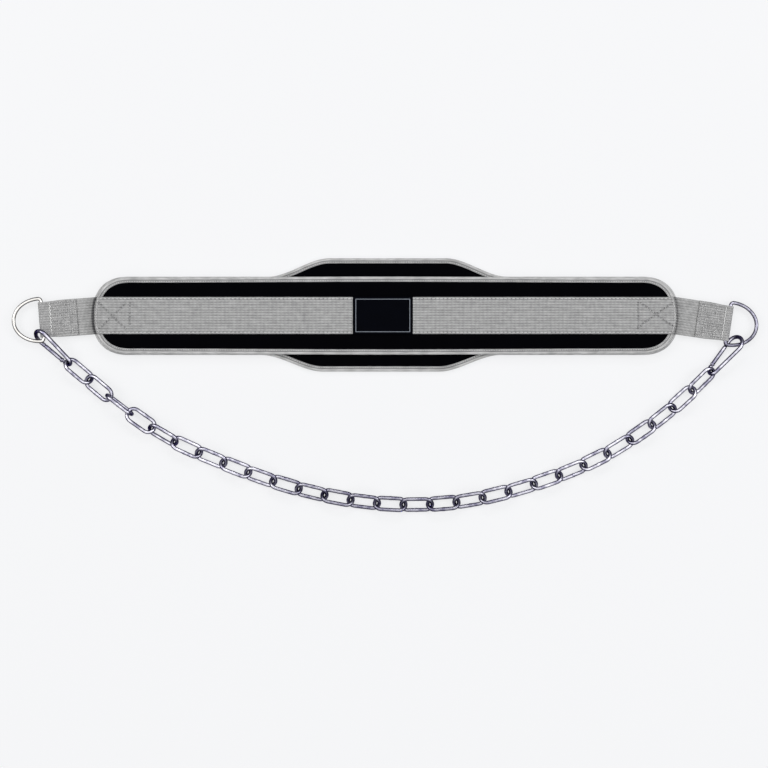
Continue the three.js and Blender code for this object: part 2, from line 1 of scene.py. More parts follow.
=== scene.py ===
# %% [markdown]
# # A dip belt, dressed in Blender
#
# A dip belt is a padded lifting belt with a steel chain. Weights hang in the loop of
# the chain. This lesson takes the belt's exact solids from the frame and puts a
# finished piece over each of them: sewn pads, bound edges, ribbed webbing, steel.
#
# We start with the frame, because every later piece takes its place from it.

# %% Load the frame
import json
import math

import bmesh
import bpy
import numpy as np
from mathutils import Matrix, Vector, kdtree


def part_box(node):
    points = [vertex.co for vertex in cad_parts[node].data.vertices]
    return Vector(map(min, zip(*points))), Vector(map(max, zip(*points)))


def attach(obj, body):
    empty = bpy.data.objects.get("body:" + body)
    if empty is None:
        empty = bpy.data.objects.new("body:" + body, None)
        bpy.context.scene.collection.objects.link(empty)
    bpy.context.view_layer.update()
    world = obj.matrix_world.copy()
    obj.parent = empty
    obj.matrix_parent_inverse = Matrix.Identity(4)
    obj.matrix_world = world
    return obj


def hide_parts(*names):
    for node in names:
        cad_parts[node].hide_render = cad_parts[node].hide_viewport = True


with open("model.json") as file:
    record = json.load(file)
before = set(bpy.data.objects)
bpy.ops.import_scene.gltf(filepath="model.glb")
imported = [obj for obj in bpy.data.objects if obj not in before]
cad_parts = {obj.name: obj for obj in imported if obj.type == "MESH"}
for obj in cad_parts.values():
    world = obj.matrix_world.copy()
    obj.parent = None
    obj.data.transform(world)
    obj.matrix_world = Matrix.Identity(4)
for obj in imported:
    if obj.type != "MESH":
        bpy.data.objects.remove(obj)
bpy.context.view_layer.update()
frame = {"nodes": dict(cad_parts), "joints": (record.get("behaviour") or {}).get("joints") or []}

MM = 0.001
binding_low, binding_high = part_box("front_binding")
belt_middle = (binding_low + binding_high) / 2

# %% [markdown]
# The sizes below are the real belt's, in millimetres. They are written from the
# middle of the front panel, so one short function moves a point into the frame,
# which counts in metres from the middle of the whole belt.

# %% The belt's sizes
FRONT_LENGTH, FRONT_HALF, FRONT_BELLY = 786, 51.5, 1.2
BACK_LENGTH, BACK_HALF = 794, 53
BACK_ABOVE, BACK_BELOW = 78, 75.5
BACK_SHIFT_ABOVE, BACK_SHIFT_BELOW = 3, -6
END_DEPTH, END_POWER = 50, 2.4
BACK_TAPE_HEIGHT, FRONT_TAPE_HEIGHT = 7, 6.5
BACK_TOP, FRONT_BOTTOM, FRONT_TOP = 9, 9.3, 17.5
WEBBING_HALF, WEBBING_LOW, WEBBING_TOP = 25, 17.8, 19.6
RIB_COUNT = 14
RIB_PITCH = 2 * WEBBING_HALF / RIB_COUNT


def in_frame(points):
    """Millimetres from the front panel's middle, as metres in the belt's frame."""
    return np.asarray(points, float) * MM + np.array([belt_middle.x, belt_middle.y, 0])


def ease(value, start, end):
    """0 before start, 1 after end, smooth in between."""
    share = np.clip((np.asarray(value, float) - start) / (end - start), 0, 1)
    return share * share * (3 - 2 * share)


print("one rib of the webbing is", round(RIB_PITCH, 2), "mm wide")

# %% [markdown]
# ## The studio
#
# The belt lies flat and is seen from straight above, so the camera hangs over it and
# looks down. A long lens from almost three metres keeps the view nearly parallel.
# The floor is pale and glows a little by itself, which washes out most of the shadow,
# as on a cut-out product picture. It is so wide that no view reaches its edge.

# %% Camera and floor
LENS, SENSOR_WIDTH, VIEW_LIMIT = 100, 36, 100
CAMERA_PLACE = (-0.00148, 0.00149, 2.893)
FLOOR_REACH, FLOOR_LEVEL = 45, -0.0004
FLOOR_SIGNS = ((-1, -1), (1, -1), (1, 1), (-1, 1))

camera = bpy.data.objects.new("camera", bpy.data.cameras.new("camera"))
bpy.context.scene.collection.objects.link(camera)
camera.data.lens = LENS
camera.data.sensor_width = SENSOR_WIDTH
camera.data.clip_end = VIEW_LIMIT
camera.location = CAMERA_PLACE
bpy.context.scene.camera = camera
bpy.context.scene.view_settings.view_transform = "Standard"

floor_corners = [(a * FLOOR_REACH, b * FLOOR_REACH, FLOOR_LEVEL) for a, b in FLOOR_SIGNS]
floor_mesh = bpy.data.meshes.new("floor")
floor_mesh.from_pydata(floor_corners, [], [(0, 1, 2, 3)])
floor = bpy.data.objects.new("floor", floor_mesh)
bpy.context.scene.collection.objects.link(floor)
print("camera", tuple(round(v, 3) for v in camera.location))

# %% [markdown]
# Polished wire only looks like metal when it has something to mirror. Three big soft
# lights stand round the belt, to the left, to the right and beyond its far side. Each
# is a rectangle that faces the belt's middle.

# %% Soft lights
SOFT_LIGHTS = {
    "left_light": ((-2.3, 0.7, 2.1), (1.1, 1.5), 16, (1, 0.99, 0.97)),
    "right_light": ((2.3, 0.4, 2.0), (1.1, 1.5), 15, (0.97, 0.98, 1)),
    "far_light": ((0.2, 2.3, 2.4), (1.6, 0.5), 9, (1, 1, 1)),
}


def soft_light(name, place, size, power, colour):
    light = bpy.data.lights.new(name, "AREA")
    light.shape = "RECTANGLE"
    light.size, light.size_y = size
    light.energy = power
    light.color = colour
    lamp = bpy.data.objects.new(name, light)
    lamp.location = place
    lamp.rotation_euler = (-Vector(place)).to_track_quat("-Z", "Y").to_euler()
    bpy.context.scene.collection.objects.link(lamp)


for name, settings in SOFT_LIGHTS.items():
    soft_light(name, *settings)
print("lights:", *SOFT_LIGHTS)

# %% [markdown]
# Between the lights the surroundings are dark, which draws the dark lines along each
# wire's edges, and they grow white overhead. A thin pale strip at the very horizon
# meets the floor, so that no dark band stands behind the belt in a low view.
#
# The surroundings and all finishes are trees of nodes. One short helper adds a node
# with its settings and inputs, and another makes a scale of colours.

# %% Surroundings
def node(tree, kind, settings=None, inputs=None):
    """Adds a node. An input is a value, or another node's output to join to it."""
    made = tree.nodes.new(kind)
    for key, value in (settings or {}).items():
        setattr(made, key, value)
    for key, value in (inputs or {}).items():
        if isinstance(value, bpy.types.NodeSocket):
            tree.links.new(value, made.inputs[key])
        else:
            made.inputs[key].default_value = value
    return made


def ramp(tree, share, stops):
    """Colours along a scale from 0 to 1."""
    made = node(tree, "ShaderNodeValToRGB", inputs={"Fac": share})
    band = made.color_ramp.elements
    while len(band) < len(stops):
        band.new(0.5)
    for stop, (place, colour) in zip(band, stops):
        stop.position = place
        stop.color = (*colour, 1)
    return made.outputs["Color"]


def parts_of(tree, vector):
    """The X, Y and Z of a vector, by name."""
    return node(tree, "ShaderNodeSeparateXYZ", inputs={"Vector": vector}).outputs


SKY_POWER = 1.2
SKY_COLOURS = [
    (0.0, (0.80, 0.80, 0.82)), (0.035, (0.80, 0.80, 0.82)), (0.09, (0.07, 0.07, 0.10)),
    (0.35, (0.09, 0.09, 0.12)), (0.62, (0.40, 0.40, 0.43)), (0.80, (1.0, 1.0, 1.0)),
]
world = bpy.data.worlds.new("surroundings")
bpy.context.scene.world = world
world.use_nodes = True
sky = world.node_tree
direction = node(sky, "ShaderNodeTexCoord").outputs["Generated"]
sky_colour = ramp(sky, parts_of(sky, direction)["Z"], SKY_COLOURS)
sky.links.new(sky_colour, sky.nodes["Background"].inputs["Color"])
sky.nodes["Background"].inputs["Strength"].default_value = SKY_POWER
print("the surroundings have", len(SKY_COLOURS), "colours from horizon to zenith")

# %% [markdown]
# ## Finishes
#
# Each finish is a small tree of nodes. Cloth needs three things at the right scale:
# its threads, slow changes of tone from handling and dye, and painted shade in the
# places where a stitch pulls it in. Straps and tapes carry a UV map in metres along and
# across them, so their threads follow every bend. A number on the mesh holds painted
# shade for the dips at stitches, grooves and furrows, and the finish darkens there.

# %% Helpers for finishes
def new_finish(name, colour, roughness, metallic=0.0, specular=0.5):
    finish = bpy.data.materials.new(name)
    finish.use_nodes = True
    finish.diffuse_color = (*colour, 1)
    shader = finish.node_tree.nodes["Principled BSDF"]
    shader.inputs["Base Color"].default_value = (*colour, 1)
    shader.inputs["Roughness"].default_value = roughness
    shader.inputs["Metallic"].default_value = metallic
    shader.inputs["Specular IOR Level"].default_value = specular
    return finish, finish.node_tree, shader


def object_place(tree):
    """Where a point of the piece is, in metres."""
    return node(tree, "ShaderNodeTexCoord").outputs["Object"]


def strap_place(tree):
    """How far along and across its strap a point is, in metres."""
    return node(tree, "ShaderNodeUVMap").outputs["UV"]


def mapped(tree, vector, **settings):
    """The vector, turned or stretched by a Mapping node."""
    return node(tree, "ShaderNodeMapping", inputs={"Vector": vector, **settings}).outputs["Vector"]


def math_node(tree, action, first, second=0.0, third=None):
    inputs = {0: first, 1: second}
    if third is not None:
        inputs[2] = third
    return node(tree, "ShaderNodeMath", {"operation": action}, inputs).outputs["Value"]


def added(tree, *patterns):
    """The sum of patterns, each given with its share."""
    total = 0.0
    for pattern, share in patterns:
        total = math_node(tree, "MULTIPLY_ADD", pattern, share, total)
    return total


def half_sine(tree, angle):
    """A smooth wave from 0 to 1."""
    return math_node(tree, "MULTIPLY_ADD", math_node(tree, "SINE", angle), 0.5, 0.5)


def wave(tree, place, pitch, shift=0.0):
    """A smooth wave from 0 to 1 with the given pitch in millimetres."""
    return half_sine(tree, math_node(tree, "MULTIPLY_ADD", place, 2 * math.pi / (pitch * MM), shift))


def noise(tree, vector, scale, detail=3.0):
    inputs = {"Vector": vector, "Scale": scale, "Detail": detail}
    return node(tree, "ShaderNodeTexNoise", inputs=inputs).outputs["Fac"]


def paint(tree, shader, colour):
    tree.links.new(colour, shader.inputs["Base Color"])


def roughen(tree, shader, pattern, swing, least):
    """Lets a pattern vary the roughness from the least upwards."""
    tree.links.new(math_node(tree, "MULTIPLY_ADD", pattern, swing, least), shader.inputs["Roughness"])


def emboss(tree, shader, height, strength, depth):
    """A fine relief. The depth is in millimetres."""
    bump = node(tree, "ShaderNodeBump", inputs={
        "Height": height, "Strength": strength, "Distance": depth * MM})
    tree.links.new(bump.outputs["Normal"], shader.inputs["Normal"])


def mesh_number(tree, name):
    return node(tree, "ShaderNodeAttribute", {"attribute_name": name}).outputs["Fac"]


def mixed(tree, share, first, second):
    """Mixes a colour towards a second one."""
    return node(tree, "ShaderNodeMix", {"data_type": "RGBA"}, {
        0: share, 6: first, 7: (*second, 1)}).outputs[2]


def shaded_at_dips(tree, colour, amount, dark):
    """Darkens a colour by the painted shade kept on the mesh, at dips, grooves and furrows."""
    return mixed(tree, math_node(tree, "MULTIPLY", mesh_number(tree, "painted_shade"), amount), colour, dark)


print("helpers for finishes are ready")

# %% [markdown]
# The cover of both pads is a tight black weave. It is nearly featureless from a
# distance. Two crossed waves about a millimetre apart make its threads, and a faint
# sheen stands for its fluff.

# %% Black cover
COVER_THREAD = 1.1
cover, tree, shader = new_finish("cover_fabric", (0.0015, 0.0015, 0.0024), 0.85, specular=0.02)
place = object_place(tree)
warp = wave(tree, parts_of(tree, place)["X"], COVER_THREAD)
weft = wave(tree, parts_of(tree, place)["Y"], COVER_THREAD)
threads = math_node(tree, "MULTIPLY", warp, weft)
patches = noise(tree, place, 38)
paint(tree, shader, ramp(tree, added(tree, (threads, 0.5), (patches, 0.5)), [
    (0.2, (0.0003, 0.0003, 0.0009)), (0.8, (0.0016, 0.0016, 0.0028))]))
roughen(tree, shader, patches, 0.2, 0.7)
emboss(tree, shader, threads, 0.5, 0.3)
shader.inputs["Sheen Weight"].default_value = 0.004
shader.inputs["Sheen Roughness"].default_value = 0.5
print(cover.name, len(tree.nodes), "nodes")

# %% [markdown]
# The edges are bound with a smooth grey ribbon. Fine ribs run across it, and long
# lighter and darker streaks follow its bends. Its stitched half gets a little painted
# shade, and painted shade darkens the groove between the halves and each stitch's dip.

# %% Binding ribbon
RIBBON_RIB = 1.2
ribbon, tree, shader = new_finish("binding_tape", (0.5, 0.5, 0.49), 0.62, specular=0.3)
uv = strap_place(tree)
fine = wave(tree, parts_of(tree, uv)["X"], RIBBON_RIB)
patches = noise(tree, object_place(tree), 55, 4)
streaks = noise(tree, mapped(tree, uv, Scale=(90, 620, 1)), 1, 3)
colour = ramp(tree, added(tree, (fine, 0.2), (patches, 0.4), (streaks, 0.4)), [
    (0.34, (0.32, 0.32, 0.315)), (0.5, (0.48, 0.48, 0.47)), (0.64, (0.70, 0.70, 0.69))])
# Painted shade in the stitch dips, the groove and the stitched half.
paint(tree, shader, shaded_at_dips(tree, colour, 0.92, (0.05, 0.05, 0.055)))
roughen(tree, shader, patches, 0.25, 0.48)
emboss(tree, shader, fine, 0.45, 0.25)
shader.inputs["Sheen Weight"].default_value = 0.08
print(ribbon.name, len(tree.nodes), "nodes")

# %% [markdown]
# The webbing's fourteen ribs are modelled. Its finish adds the cross threads, which
# lean one way on each rib and the other way in the furrow, and a patchy grey that
# changes a little from rib to rib.

# %% Webbing
WEBBING_THREAD, THREAD_LEAN = 1.8, 2.6
strap, tree, shader = new_finish("webbing", (0.35, 0.35, 0.345), 0.85, specular=0.2)
uv = strap_place(tree)
rib = wave(tree, parts_of(tree, uv)["Y"], RIB_PITCH, -math.pi / 2)
lean = math_node(tree, "MULTIPLY", rib, THREAD_LEAN)
turn_rate = 2 * math.pi / (WEBBING_THREAD * MM)
cross = half_sine(tree, math_node(tree, "MULTIPLY_ADD", parts_of(tree, uv)["X"], turn_rate, lean))
patches = noise(tree, object_place(tree), 150, 5)
streaks = noise(tree, mapped(tree, uv, Scale=(30, 560, 1)), 1, 2)
colour = ramp(tree, added(tree, (cross, 0.36), (patches, 0.36), (streaks, 0.28)), [
    (0.32, (0.25, 0.25, 0.245)), (0.5, (0.41, 0.41, 0.405)), (0.68, (0.60, 0.60, 0.59))])
# Painted shade in the furrows between ribs, the stitch dips and the crease.
paint(tree, shader, shaded_at_dips(tree, colour, 0.95, (0.035, 0.035, 0.038)))
roughen(tree, shader, patches, 0.2, 0.75)
emboss(tree, shader, math_node(tree, "MULTIPLY", cross, rib), 0.6, 0.4)
shader.inputs["Sheen Weight"].default_value = 0.05
print(strap.name, len(tree.nodes), "nodes")

# %% [markdown]
# Sewing thread is lighter than the cloth it holds and has a soft shine. Its twist is
# far too fine to model, so a slanted wave stands for it. The long seams are sewn in a
# pale thread, the crosses in a grey one, and the rows beside the rings in white.

# %% Sewing thread
TWIST_PITCH, TWIST_SLANT = 0.6, (0.3, 0.4, 0.75)


def thread_finish(name, dark, light):
    finish, tree, shader = new_finish(name, light, 0.5, specular=0.4)
    place = object_place(tree)
    twist = wave(tree, parts_of(tree, mapped(tree, place, Rotation=TWIST_SLANT))["X"], TWIST_PITCH)
    patches = noise(tree, place, 240, 2)
    paint(tree, shader, ramp(tree, added(tree, (twist, 0.4), (patches, 0.6)), [(0.2, dark), (0.8, light)]))
    roughen(tree, shader, patches, 0.3, 0.4)
    emboss(tree, shader, twist, 0.4, 0.2)
    return finish


pale_thread = thread_finish("pale_thread", (0.52, 0.52, 0.51), (0.80, 0.80, 0.79))
grey_thread = thread_finish("grey_thread", (0.30, 0.30, 0.295), (0.55, 0.55, 0.54))
white_thread = thread_finish("white_thread", (0.80, 0.80, 0.78), (0.96, 0.96, 0.94))
print("threads:", pale_thread.name, grey_thread.name, white_thread.name)

# %% [markdown]
# The label is a patch of black satin, bare, with one thin light line woven in near
# its edge. Satin shines along its threads, so its finish is smoother than the cover.
# The line is a thread too, so it has a finish of the same kind, in a duller tone.

# %% Label satin
SATIN_THREAD = 0.7
satin, tree, shader = new_finish("label_satin", (0.002, 0.0022, 0.004), 0.6, specular=0.02)
place = object_place(tree)
fine = wave(tree, parts_of(tree, place)["Y"], SATIN_THREAD)
patches = noise(tree, place, 60)
paint(tree, shader, ramp(tree, added(tree, (fine, 0.4), (patches, 0.6)), [
    (0.2, (0.0005, 0.0007, 0.0018)), (0.8, (0.0016, 0.0020, 0.0042))]))
roughen(tree, shader, patches, 0.25, 0.5)
emboss(tree, shader, fine, 0.35, 0.15)
frame_line = thread_finish("frame_line_thread", (0.15, 0.17, 0.20), (0.28, 0.31, 0.35))
print(satin.name, frame_line.name)

# %% [markdown]
# The metals are plated or plain steel wire: one bright and warm ring, one darker and
# cooler ring, slightly violet zinc on the hooks and the chain, and plain rivets. Fine
# scratches and slow smudges vary the roughness, and a very shallow bump breaks up the
# mirror images, because real wire isn't perfect.
#
# Each wire's colour also carries a painted reflection: its upper side is left bright,
# its shoulders are painted dark, and its sides a little less dark again. The mesh
# carries that as a number worked out from where each point faces.

# %% Metals
METAL_EDGE = (0.03, 0.03, 0.045)


def metal_finish(name, dark, light, rough, scratch, edge_shade_colour):
    finish, tree, shader = new_finish(name, light, rough, metallic=1.0)
    shader.inputs["Specular Tint"].default_value = (*METAL_EDGE, 1)
    place = object_place(tree)
    smudges = noise(tree, place, 120, 4)
    grit = noise(tree, place, 900)
    scratches = noise(tree, mapped(tree, place, Rotation=(0, 0, 0.6), Scale=(1, 9, 3)), 260, 2)
    # Painted reflection: the colour is mixed towards a dark one on the wire's shoulders.
    painted_edge_shade = mesh_number(tree, "painted_edge_shade")
    edge_shade_with_grit = added(tree, (painted_edge_shade, 0.88), (grit, 0.25))
    share = node(tree, "ShaderNodeMath", {"operation": "MULTIPLY", "use_clamp": True}, {
        0: edge_shade_with_grit, 1: painted_edge_shade}).outputs["Value"]
    metal_colour = ramp(tree, smudges, [(0.36, dark), (0.62, light)])
    paint(tree, shader, mixed(tree, share, metal_colour, edge_shade_colour))
    roughen(tree, shader, added(tree, (smudges, 0.16), (grit, 0.08)), 1.0, rough - 0.08)
    emboss(tree, shader, added(tree, (grit, 0.3), (scratches, 0.5)), scratch, 0.3)
    return finish


# The last colour of each metal is the painted shade on the wire's shoulders.
chrome = metal_finish(
    "ring_chrome", (0.78, 0.76, 0.72), (0.96, 0.94, 0.90), 0.13, 0.10, (0.04, 0.037, 0.032))
violet_chrome = metal_finish(
    "ring_plating", (0.15, 0.145, 0.20), (0.50, 0.49, 0.58), 0.15, 0.12, (0.04, 0.036, 0.062))
hook_steel = metal_finish(
    "hook_steel", (0.28, 0.27, 0.38), (0.84, 0.83, 0.91), 0.17, 0.16, (0.037, 0.032, 0.076))
chain_steel = metal_finish(
    "chain_steel", (0.32, 0.31, 0.41), (0.90, 0.89, 0.97), 0.18, 0.2, (0.038, 0.033, 0.080))
rivet_steel = metal_finish(
    "rivet_steel", (0.45, 0.45, 0.53), (0.70, 0.70, 0.78), 0.22, 0.2, (0.08, 0.08, 0.11))
print("metals:", chrome.name, violet_chrome.name, hook_steel.name, chain_steel.name, rivet_steel.name)

# %% [markdown]
# The floor is the plainest finish of all: pale paint, hardly mottled, that gives off
# a little light of its own.

# %% Floor finish
floor_finish, tree, shader = new_finish("floor_paint", (0.25, 0.25, 0.255), 0.9, specular=0.0)
paint(tree, shader, ramp(tree, noise(tree, object_place(tree), 3), [
    (0.3, (0.249, 0.249, 0.253)), (0.7, (0.251, 0.251, 0.255))]))
shader.inputs["Emission Color"].default_value = (0.985, 0.992, 1, 1)
shader.inputs["Emission Strength"].default_value = 0.685
floor_mesh.materials.append(floor_finish)
print(floor_finish.name, len(tree.nodes), "nodes")

# %% [markdown]
# ## Making meshes
#
# Almost every piece here is a loft: the same outline repeated along a path, joined
# row by row. One helper makes them all, so that faces always point outwards and each
# strap gets its UV map in metres.

# %% Loft helper
def link_object(name, mesh):
    piece = bpy.data.objects.new(name, mesh)
    bpy.context.scene.collection.objects.link(piece)
    return piece


def face_out(mesh):
    """Turns all faces of a closed mesh outwards and smooths its shading."""
    shell = bmesh.new()
    shell.from_mesh(mesh)
    bmesh.ops.recalc_face_normals(shell, faces=shell.faces)
    shell.to_mesh(mesh)
    shell.free()
    mesh.polygons.foreach_set("use_smooth", [True] * len(mesh.polygons))
    mesh.update()


def loft(name, rows, finish, ring=False, along=None, across=None):
    """Rows of points in metres, each a closed outline, joined into a closed skin."""
    rows = np.asarray(rows, float)
    count, size = rows.shape[:2]
    first = np.arange(count if ring else count - 1)
    near, side = np.meshgrid(first, np.arange(size), indexing="ij")
    far, next_side = (near + 1) % count, (side + 1) % size
    quads = np.stack([near * size + side, near * size + next_side,
                      far * size + next_side, far * size + side], -1).reshape(-1, 4)
    faces = quads.tolist()
    if not ring:
        faces += [list(range(size))[::-1], list(range((count - 1) * size, count * size))]
    mesh = bpy.data.meshes.new(name)
    mesh.from_pydata(rows.reshape(-1, 3).tolist(), [], faces)
    if along is not None:
        along, across = np.asarray(along, float), np.asarray(across, float)
        u = np.stack([along[near], along[near], along[near + 1], along[near + 1]], -1)
        v = np.stack([across[side], across[side + 1], across[side + 1], across[side]], -1)
        corners = np.zeros((len(mesh.loops), 2))
        corners[:quads.size] = np.stack([u.ravel(), v.ravel()], -1)
        layer = mesh.uv_layers.new(name="UVMap")
        layer.data.foreach_set("uv", corners.ravel())
    mesh.materials.append(finish)
    face_out(mesh)
    return link_object(name, mesh)


print("the loft helper is ready")

# %% [markdown]
# Two numbers are kept on the points of the meshes for the finishes above. One holds
# painted shade at the stitches' dips, in grooves and in furrows. The other holds a painted
# reflection on each wire, from how steeply a point faces up or down: the top is left
# bright, the shoulders are painted dark, and the sides lie in between.

# %% Marks and labels on a piece
LIT_TOP_FACING, SIDE_FACING = (0.68, 0.97), (0.2, 0.42)
SIDE_SHADE = 0.4


def store_painted_shade(piece, values):
    """Keeps on each point of the mesh how much painted shade it gets, 0 to 1."""
    layer = piece.data.attributes.new("painted_shade", "FLOAT", "POINT")
    layer.data.foreach_set("value", np.asarray(values, np.float32).ravel())


def store_painted_edge_shade(piece, least=0.0):
    """Keeps on each point of a wire its painted reflection shade: 0 where it faces up, 1 on its shoulders."""
    # Painted shade: the top stays bright, the shoulders go dark, the sides less dark.
    upright = np.abs([v.normal.z for v in piece.data.vertices])
    shade_on_sides = SIDE_SHADE + (1 - SIDE_SHADE) * ease(upright, *SIDE_FACING)
    shaded = np.maximum((1 - ease(upright, *LIT_TOP_FACING)) * shade_on_sides, least)
    layer = piece.data.attributes.new("painted_edge_shade", "FLOAT", "POINT")
    layer.data.foreach_set("value", shaded.astype(np.float32))


def triangles(piece):
    return sum(len(face.vertices) - 2 for face in piece.data.polygons)


def dress(piece, nodes, body="belt"):
    """Puts a piece on its body and hides the solids it stands for."""
    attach(piece, body)
    if nodes:
        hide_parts(*nodes)
    print(piece.name, triangles(piece), "triangles")


print("the wires' sides are", SIDE_SHADE, "as dull as their shoulders")

# %% [markdown]
# ## The panels' outlines
#
# Both panels are long strips with rounded ends. The back one swells in the middle to
# spread the load over the hips. We draw each outline once, as points at equal steps
# with the direction that points outwards, and use it for the pad and for its binding.
# Lengths along a line come up again and again, so they get helpers of their own.

# %% Lines and outlines
OUTLINE_STEP = 1.5
SWELL_START, SWELL_END = 78.5, 162.5
SEWN_FROM, SEWN_BY = 310, 340


def walked(points):
    """How far each point of a line is from its start, along the line."""
    return np.concatenate([[0], np.cumsum(np.linalg.norm(np.diff(points, axis=0), axis=1))])


def points_at(marks, points):
    """The points of a line at the given distances from its start."""
    gone = walked(points)
    return np.stack([np.interp(marks, gone, points[:, k]) for k in range(points.shape[1])], 1)


def even_steps(points, step):
    """A closed line's points at equal steps, and the length of one step."""
    closed = np.vstack([points, points[:1]])
    length = walked(closed)[-1]
    count = round(length / step)
    return points_at(np.arange(count) * length / count, closed), length / count


def end_share(x, length):
    """The share of its width that a panel has at x, less than 1 in its round ends."""
    reach = np.clip((np.abs(x) - (length / 2 - END_DEPTH)) / END_DEPTH, 0, 1)
    return (1 - reach ** END_POWER) ** (1 / END_POWER)


def front_half(x):
    return FRONT_HALF + FRONT_BELLY * (1 - ease(np.abs(x), 0, FRONT_LENGTH / 2 - END_DEPTH))


def back_half(x, wide, shift):
    return BACK_HALF + (wide - BACK_HALF) * (1 - ease(np.abs(x - shift), SWELL_START, SWELL_END))


def back_above(x):
    return back_half(x, BACK_ABOVE, BACK_SHIFT_ABOVE)


def back_below(x):
    return back_half(x, BACK_BELOW, BACK_SHIFT_BELOW)


def sewn(x):
    """1 where the panels are sewn down onto the tails, 0 in the middle."""
    return ease(np.abs(x), SEWN_FROM, SEWN_BY)


def outline(length, below, above):
    straight = length / 2 - END_DEPTH
    round_end = straight + END_DEPTH * np.sin(np.linspace(0, math.pi / 2, 400))
    x = np.concatenate([-round_end[::-1], np.linspace(-straight, straight, 1200)[1:-1], round_end])
    lower = np.stack([x, -below(x) * end_share(x, length)], 1)
    upper = np.stack([x, above(x) * end_share(x, length)], 1)[1:-1][::-1]
    points, step = even_steps(np.vstack([lower, upper]), OUTLINE_STEP)
    tangent = np.roll(points, -1, 0) - np.roll(points, 1, 0)
    tangent /= np.linalg.norm(tangent, axis=1)[:, None]
    return points, np.stack([tangent[:, 1], -tangent[:, 0]], 1), step


front_edge = outline(FRONT_LENGTH, front_half, front_half)
back_edge = outline(BACK_LENGTH, back_below, back_above)
for edge_name, (line, outwards, step) in (("front", front_edge), ("back", back_edge)):
    print(edge_name, "edge is", round(len(line) * step), "mm long")

# %% [markdown]
# ## Bound edges
#
# A ribbon is folded over the raw edge of the panel and sewn through. It could be a
# bent strip with a Solidify modifier. Here its section is drawn instead, because the
# section holds what the eye looks for: the full round at the edge, the groove where
# the fold is pressed, and the flat half that carries the stitches. Each stitch also
# pulls the ribbon down a little, and between the stitches it lies a little slack.

# %% Bindings
BINDING_STITCH, STITCH_INSET, STITCH_SEAT, STITCH_PULL = 3.3, 5.5, 0.65, 0.35
GROOVE_INSET, GROOVE_HALF, GROOVE_SIDE = 3.75, 0.3, 1.1
RIBBON_THICK, RIBBON_SLACK = 1.15, 0.10
HALF_SHADE, GROOVE_SHADE, STITCH_SHADE = 0.30, 0.9, 0.7
FRONT_EDGE_LIFT = 1.7


def ribbon_section(height):
    """Distance inwards from the edge, and height, once round the folded ribbon."""
    top = [
        (7.1, -RIBBON_THICK), (7.1, -0.5), (6.85, -0.14), (6.35, 0), (5.9, -0.04), (5.3, -0.06),
        (4.7, 0), (4.25, -0.12), (3.95, -0.5), (GROOVE_INSET, -0.8), (3.55, -0.5), (3.3, -0.12),
        (2.9, 0), (2.2, -0.02), (1.4, -0.22), (0.6, -0.85), (0.15, -1.6), (0, -2.5),
    ]
    upper = [(inwards, height + drop) for inwards, drop in top]
    lower = [(inwards, -drop) for inwards, drop in reversed(top)]
    return np.array([*upper, *lower, (1.25, RIBBON_THICK), (1.25, height - RIBBON_THICK)])


def bind_edge(name, edge, bottom, height):
    line, outwards, step = edge
    section = ribbon_section(height)
    inwards, up = section.T
    count = len(line)
    steps = np.arange(count)
    rows = np.zeros((count, len(section), 3))
    rows[:, :, :2] = line[:, None] - outwards[:, None] * inwards[None, :, None]
    phase = steps / count * round(count * step / BINDING_STITCH) * 2 * math.pi
    pull = ((0.5 + 0.5 * np.cos(phase)) ** 3)[:, None]
    on_top = up > height / 2
    seat = np.exp(-((inwards - STITCH_INSET) / STITCH_SEAT) ** 2) * on_top
    near_face = np.abs(up - height / 2) > height / 2 - GROOVE_SIDE
    groove = np.exp(-((inwards - GROOVE_INSET) / GROOVE_HALF) ** 2) * near_face
    slack = np.abs(RIBBON_SLACK * np.sin(steps * 0.173) * np.sin(steps * 0.031))[:, None]
    rows[:, :, 2] = bottom(line[:, 0])[:, None] + up - STITCH_PULL * pull * seat
    rows[:, :, 2] -= slack * on_top * (inwards < GROOVE_INSET - 0.05)
    across = walked(np.vstack([section, section[:1]]))
    piece = loft(name, in_frame(rows), ribbon, ring=True,
                 along=np.arange(count + 1) * step * MM, across=across * MM)
    # Painted shade for the finish: the stitch dips, the groove and the stitched half.
    sewn_half = HALF_SHADE * (inwards > GROOVE_INSET + 0.15) * on_top
    store_painted_shade(piece, np.clip(STITCH_SHADE * pull * seat + GROOVE_SHADE * groove + sewn_half, 0, 1))
    return piece


def front_low_edge(x):
    return FRONT_BOTTOM + FRONT_EDGE_LIFT * sewn(x)


def flat_on_floor(x):
    return np.zeros_like(x)


front_bound = bind_edge("front_edge_ribbon", front_edge, front_low_edge, FRONT_TAPE_HEIGHT)
back_bound = bind_edge("back_edge_ribbon", back_edge, flat_on_floor, BACK_TAPE_HEIGHT)
dress(front_bound, ["front_binding"])
dress(back_bound, ["back_binding"])

# %% [markdown]
# ## The pads
#
# Each panel is foam inside a black cover. We start a little flat: a top and a bottom
# sheet that meet at the pinched edge. Their points lie in rows across the panel,
# closer together at its sides, and rise from the edge's height to the body's.

# %% A flat pad
PAD_STEP, PAD_INSET = 4.0, 1.5
PINCHED_DEPTH, RISE_DEPTH, RISE_POWER = 7.6, 9, 2.8
PINCHED_LOW, FRONT_PINCHED_TOP, BACK_PINCHED_TOP, SEWN_DROP = 1.5, 5, 5.5, 2


def depth_inside(line, xs, ys):
    """How far each point lies inside a panel's edge."""
    finder = kdtree.KDTree(len(line))
    for index, (a, b) in enumerate(line):
        finder.insert((a, b, 0), index)
    finder.balance()
    return np.array([finder.find((a, b, 0))[2] for a, b in zip(xs.ravel(), ys.ravel())]).reshape(xs.shape)


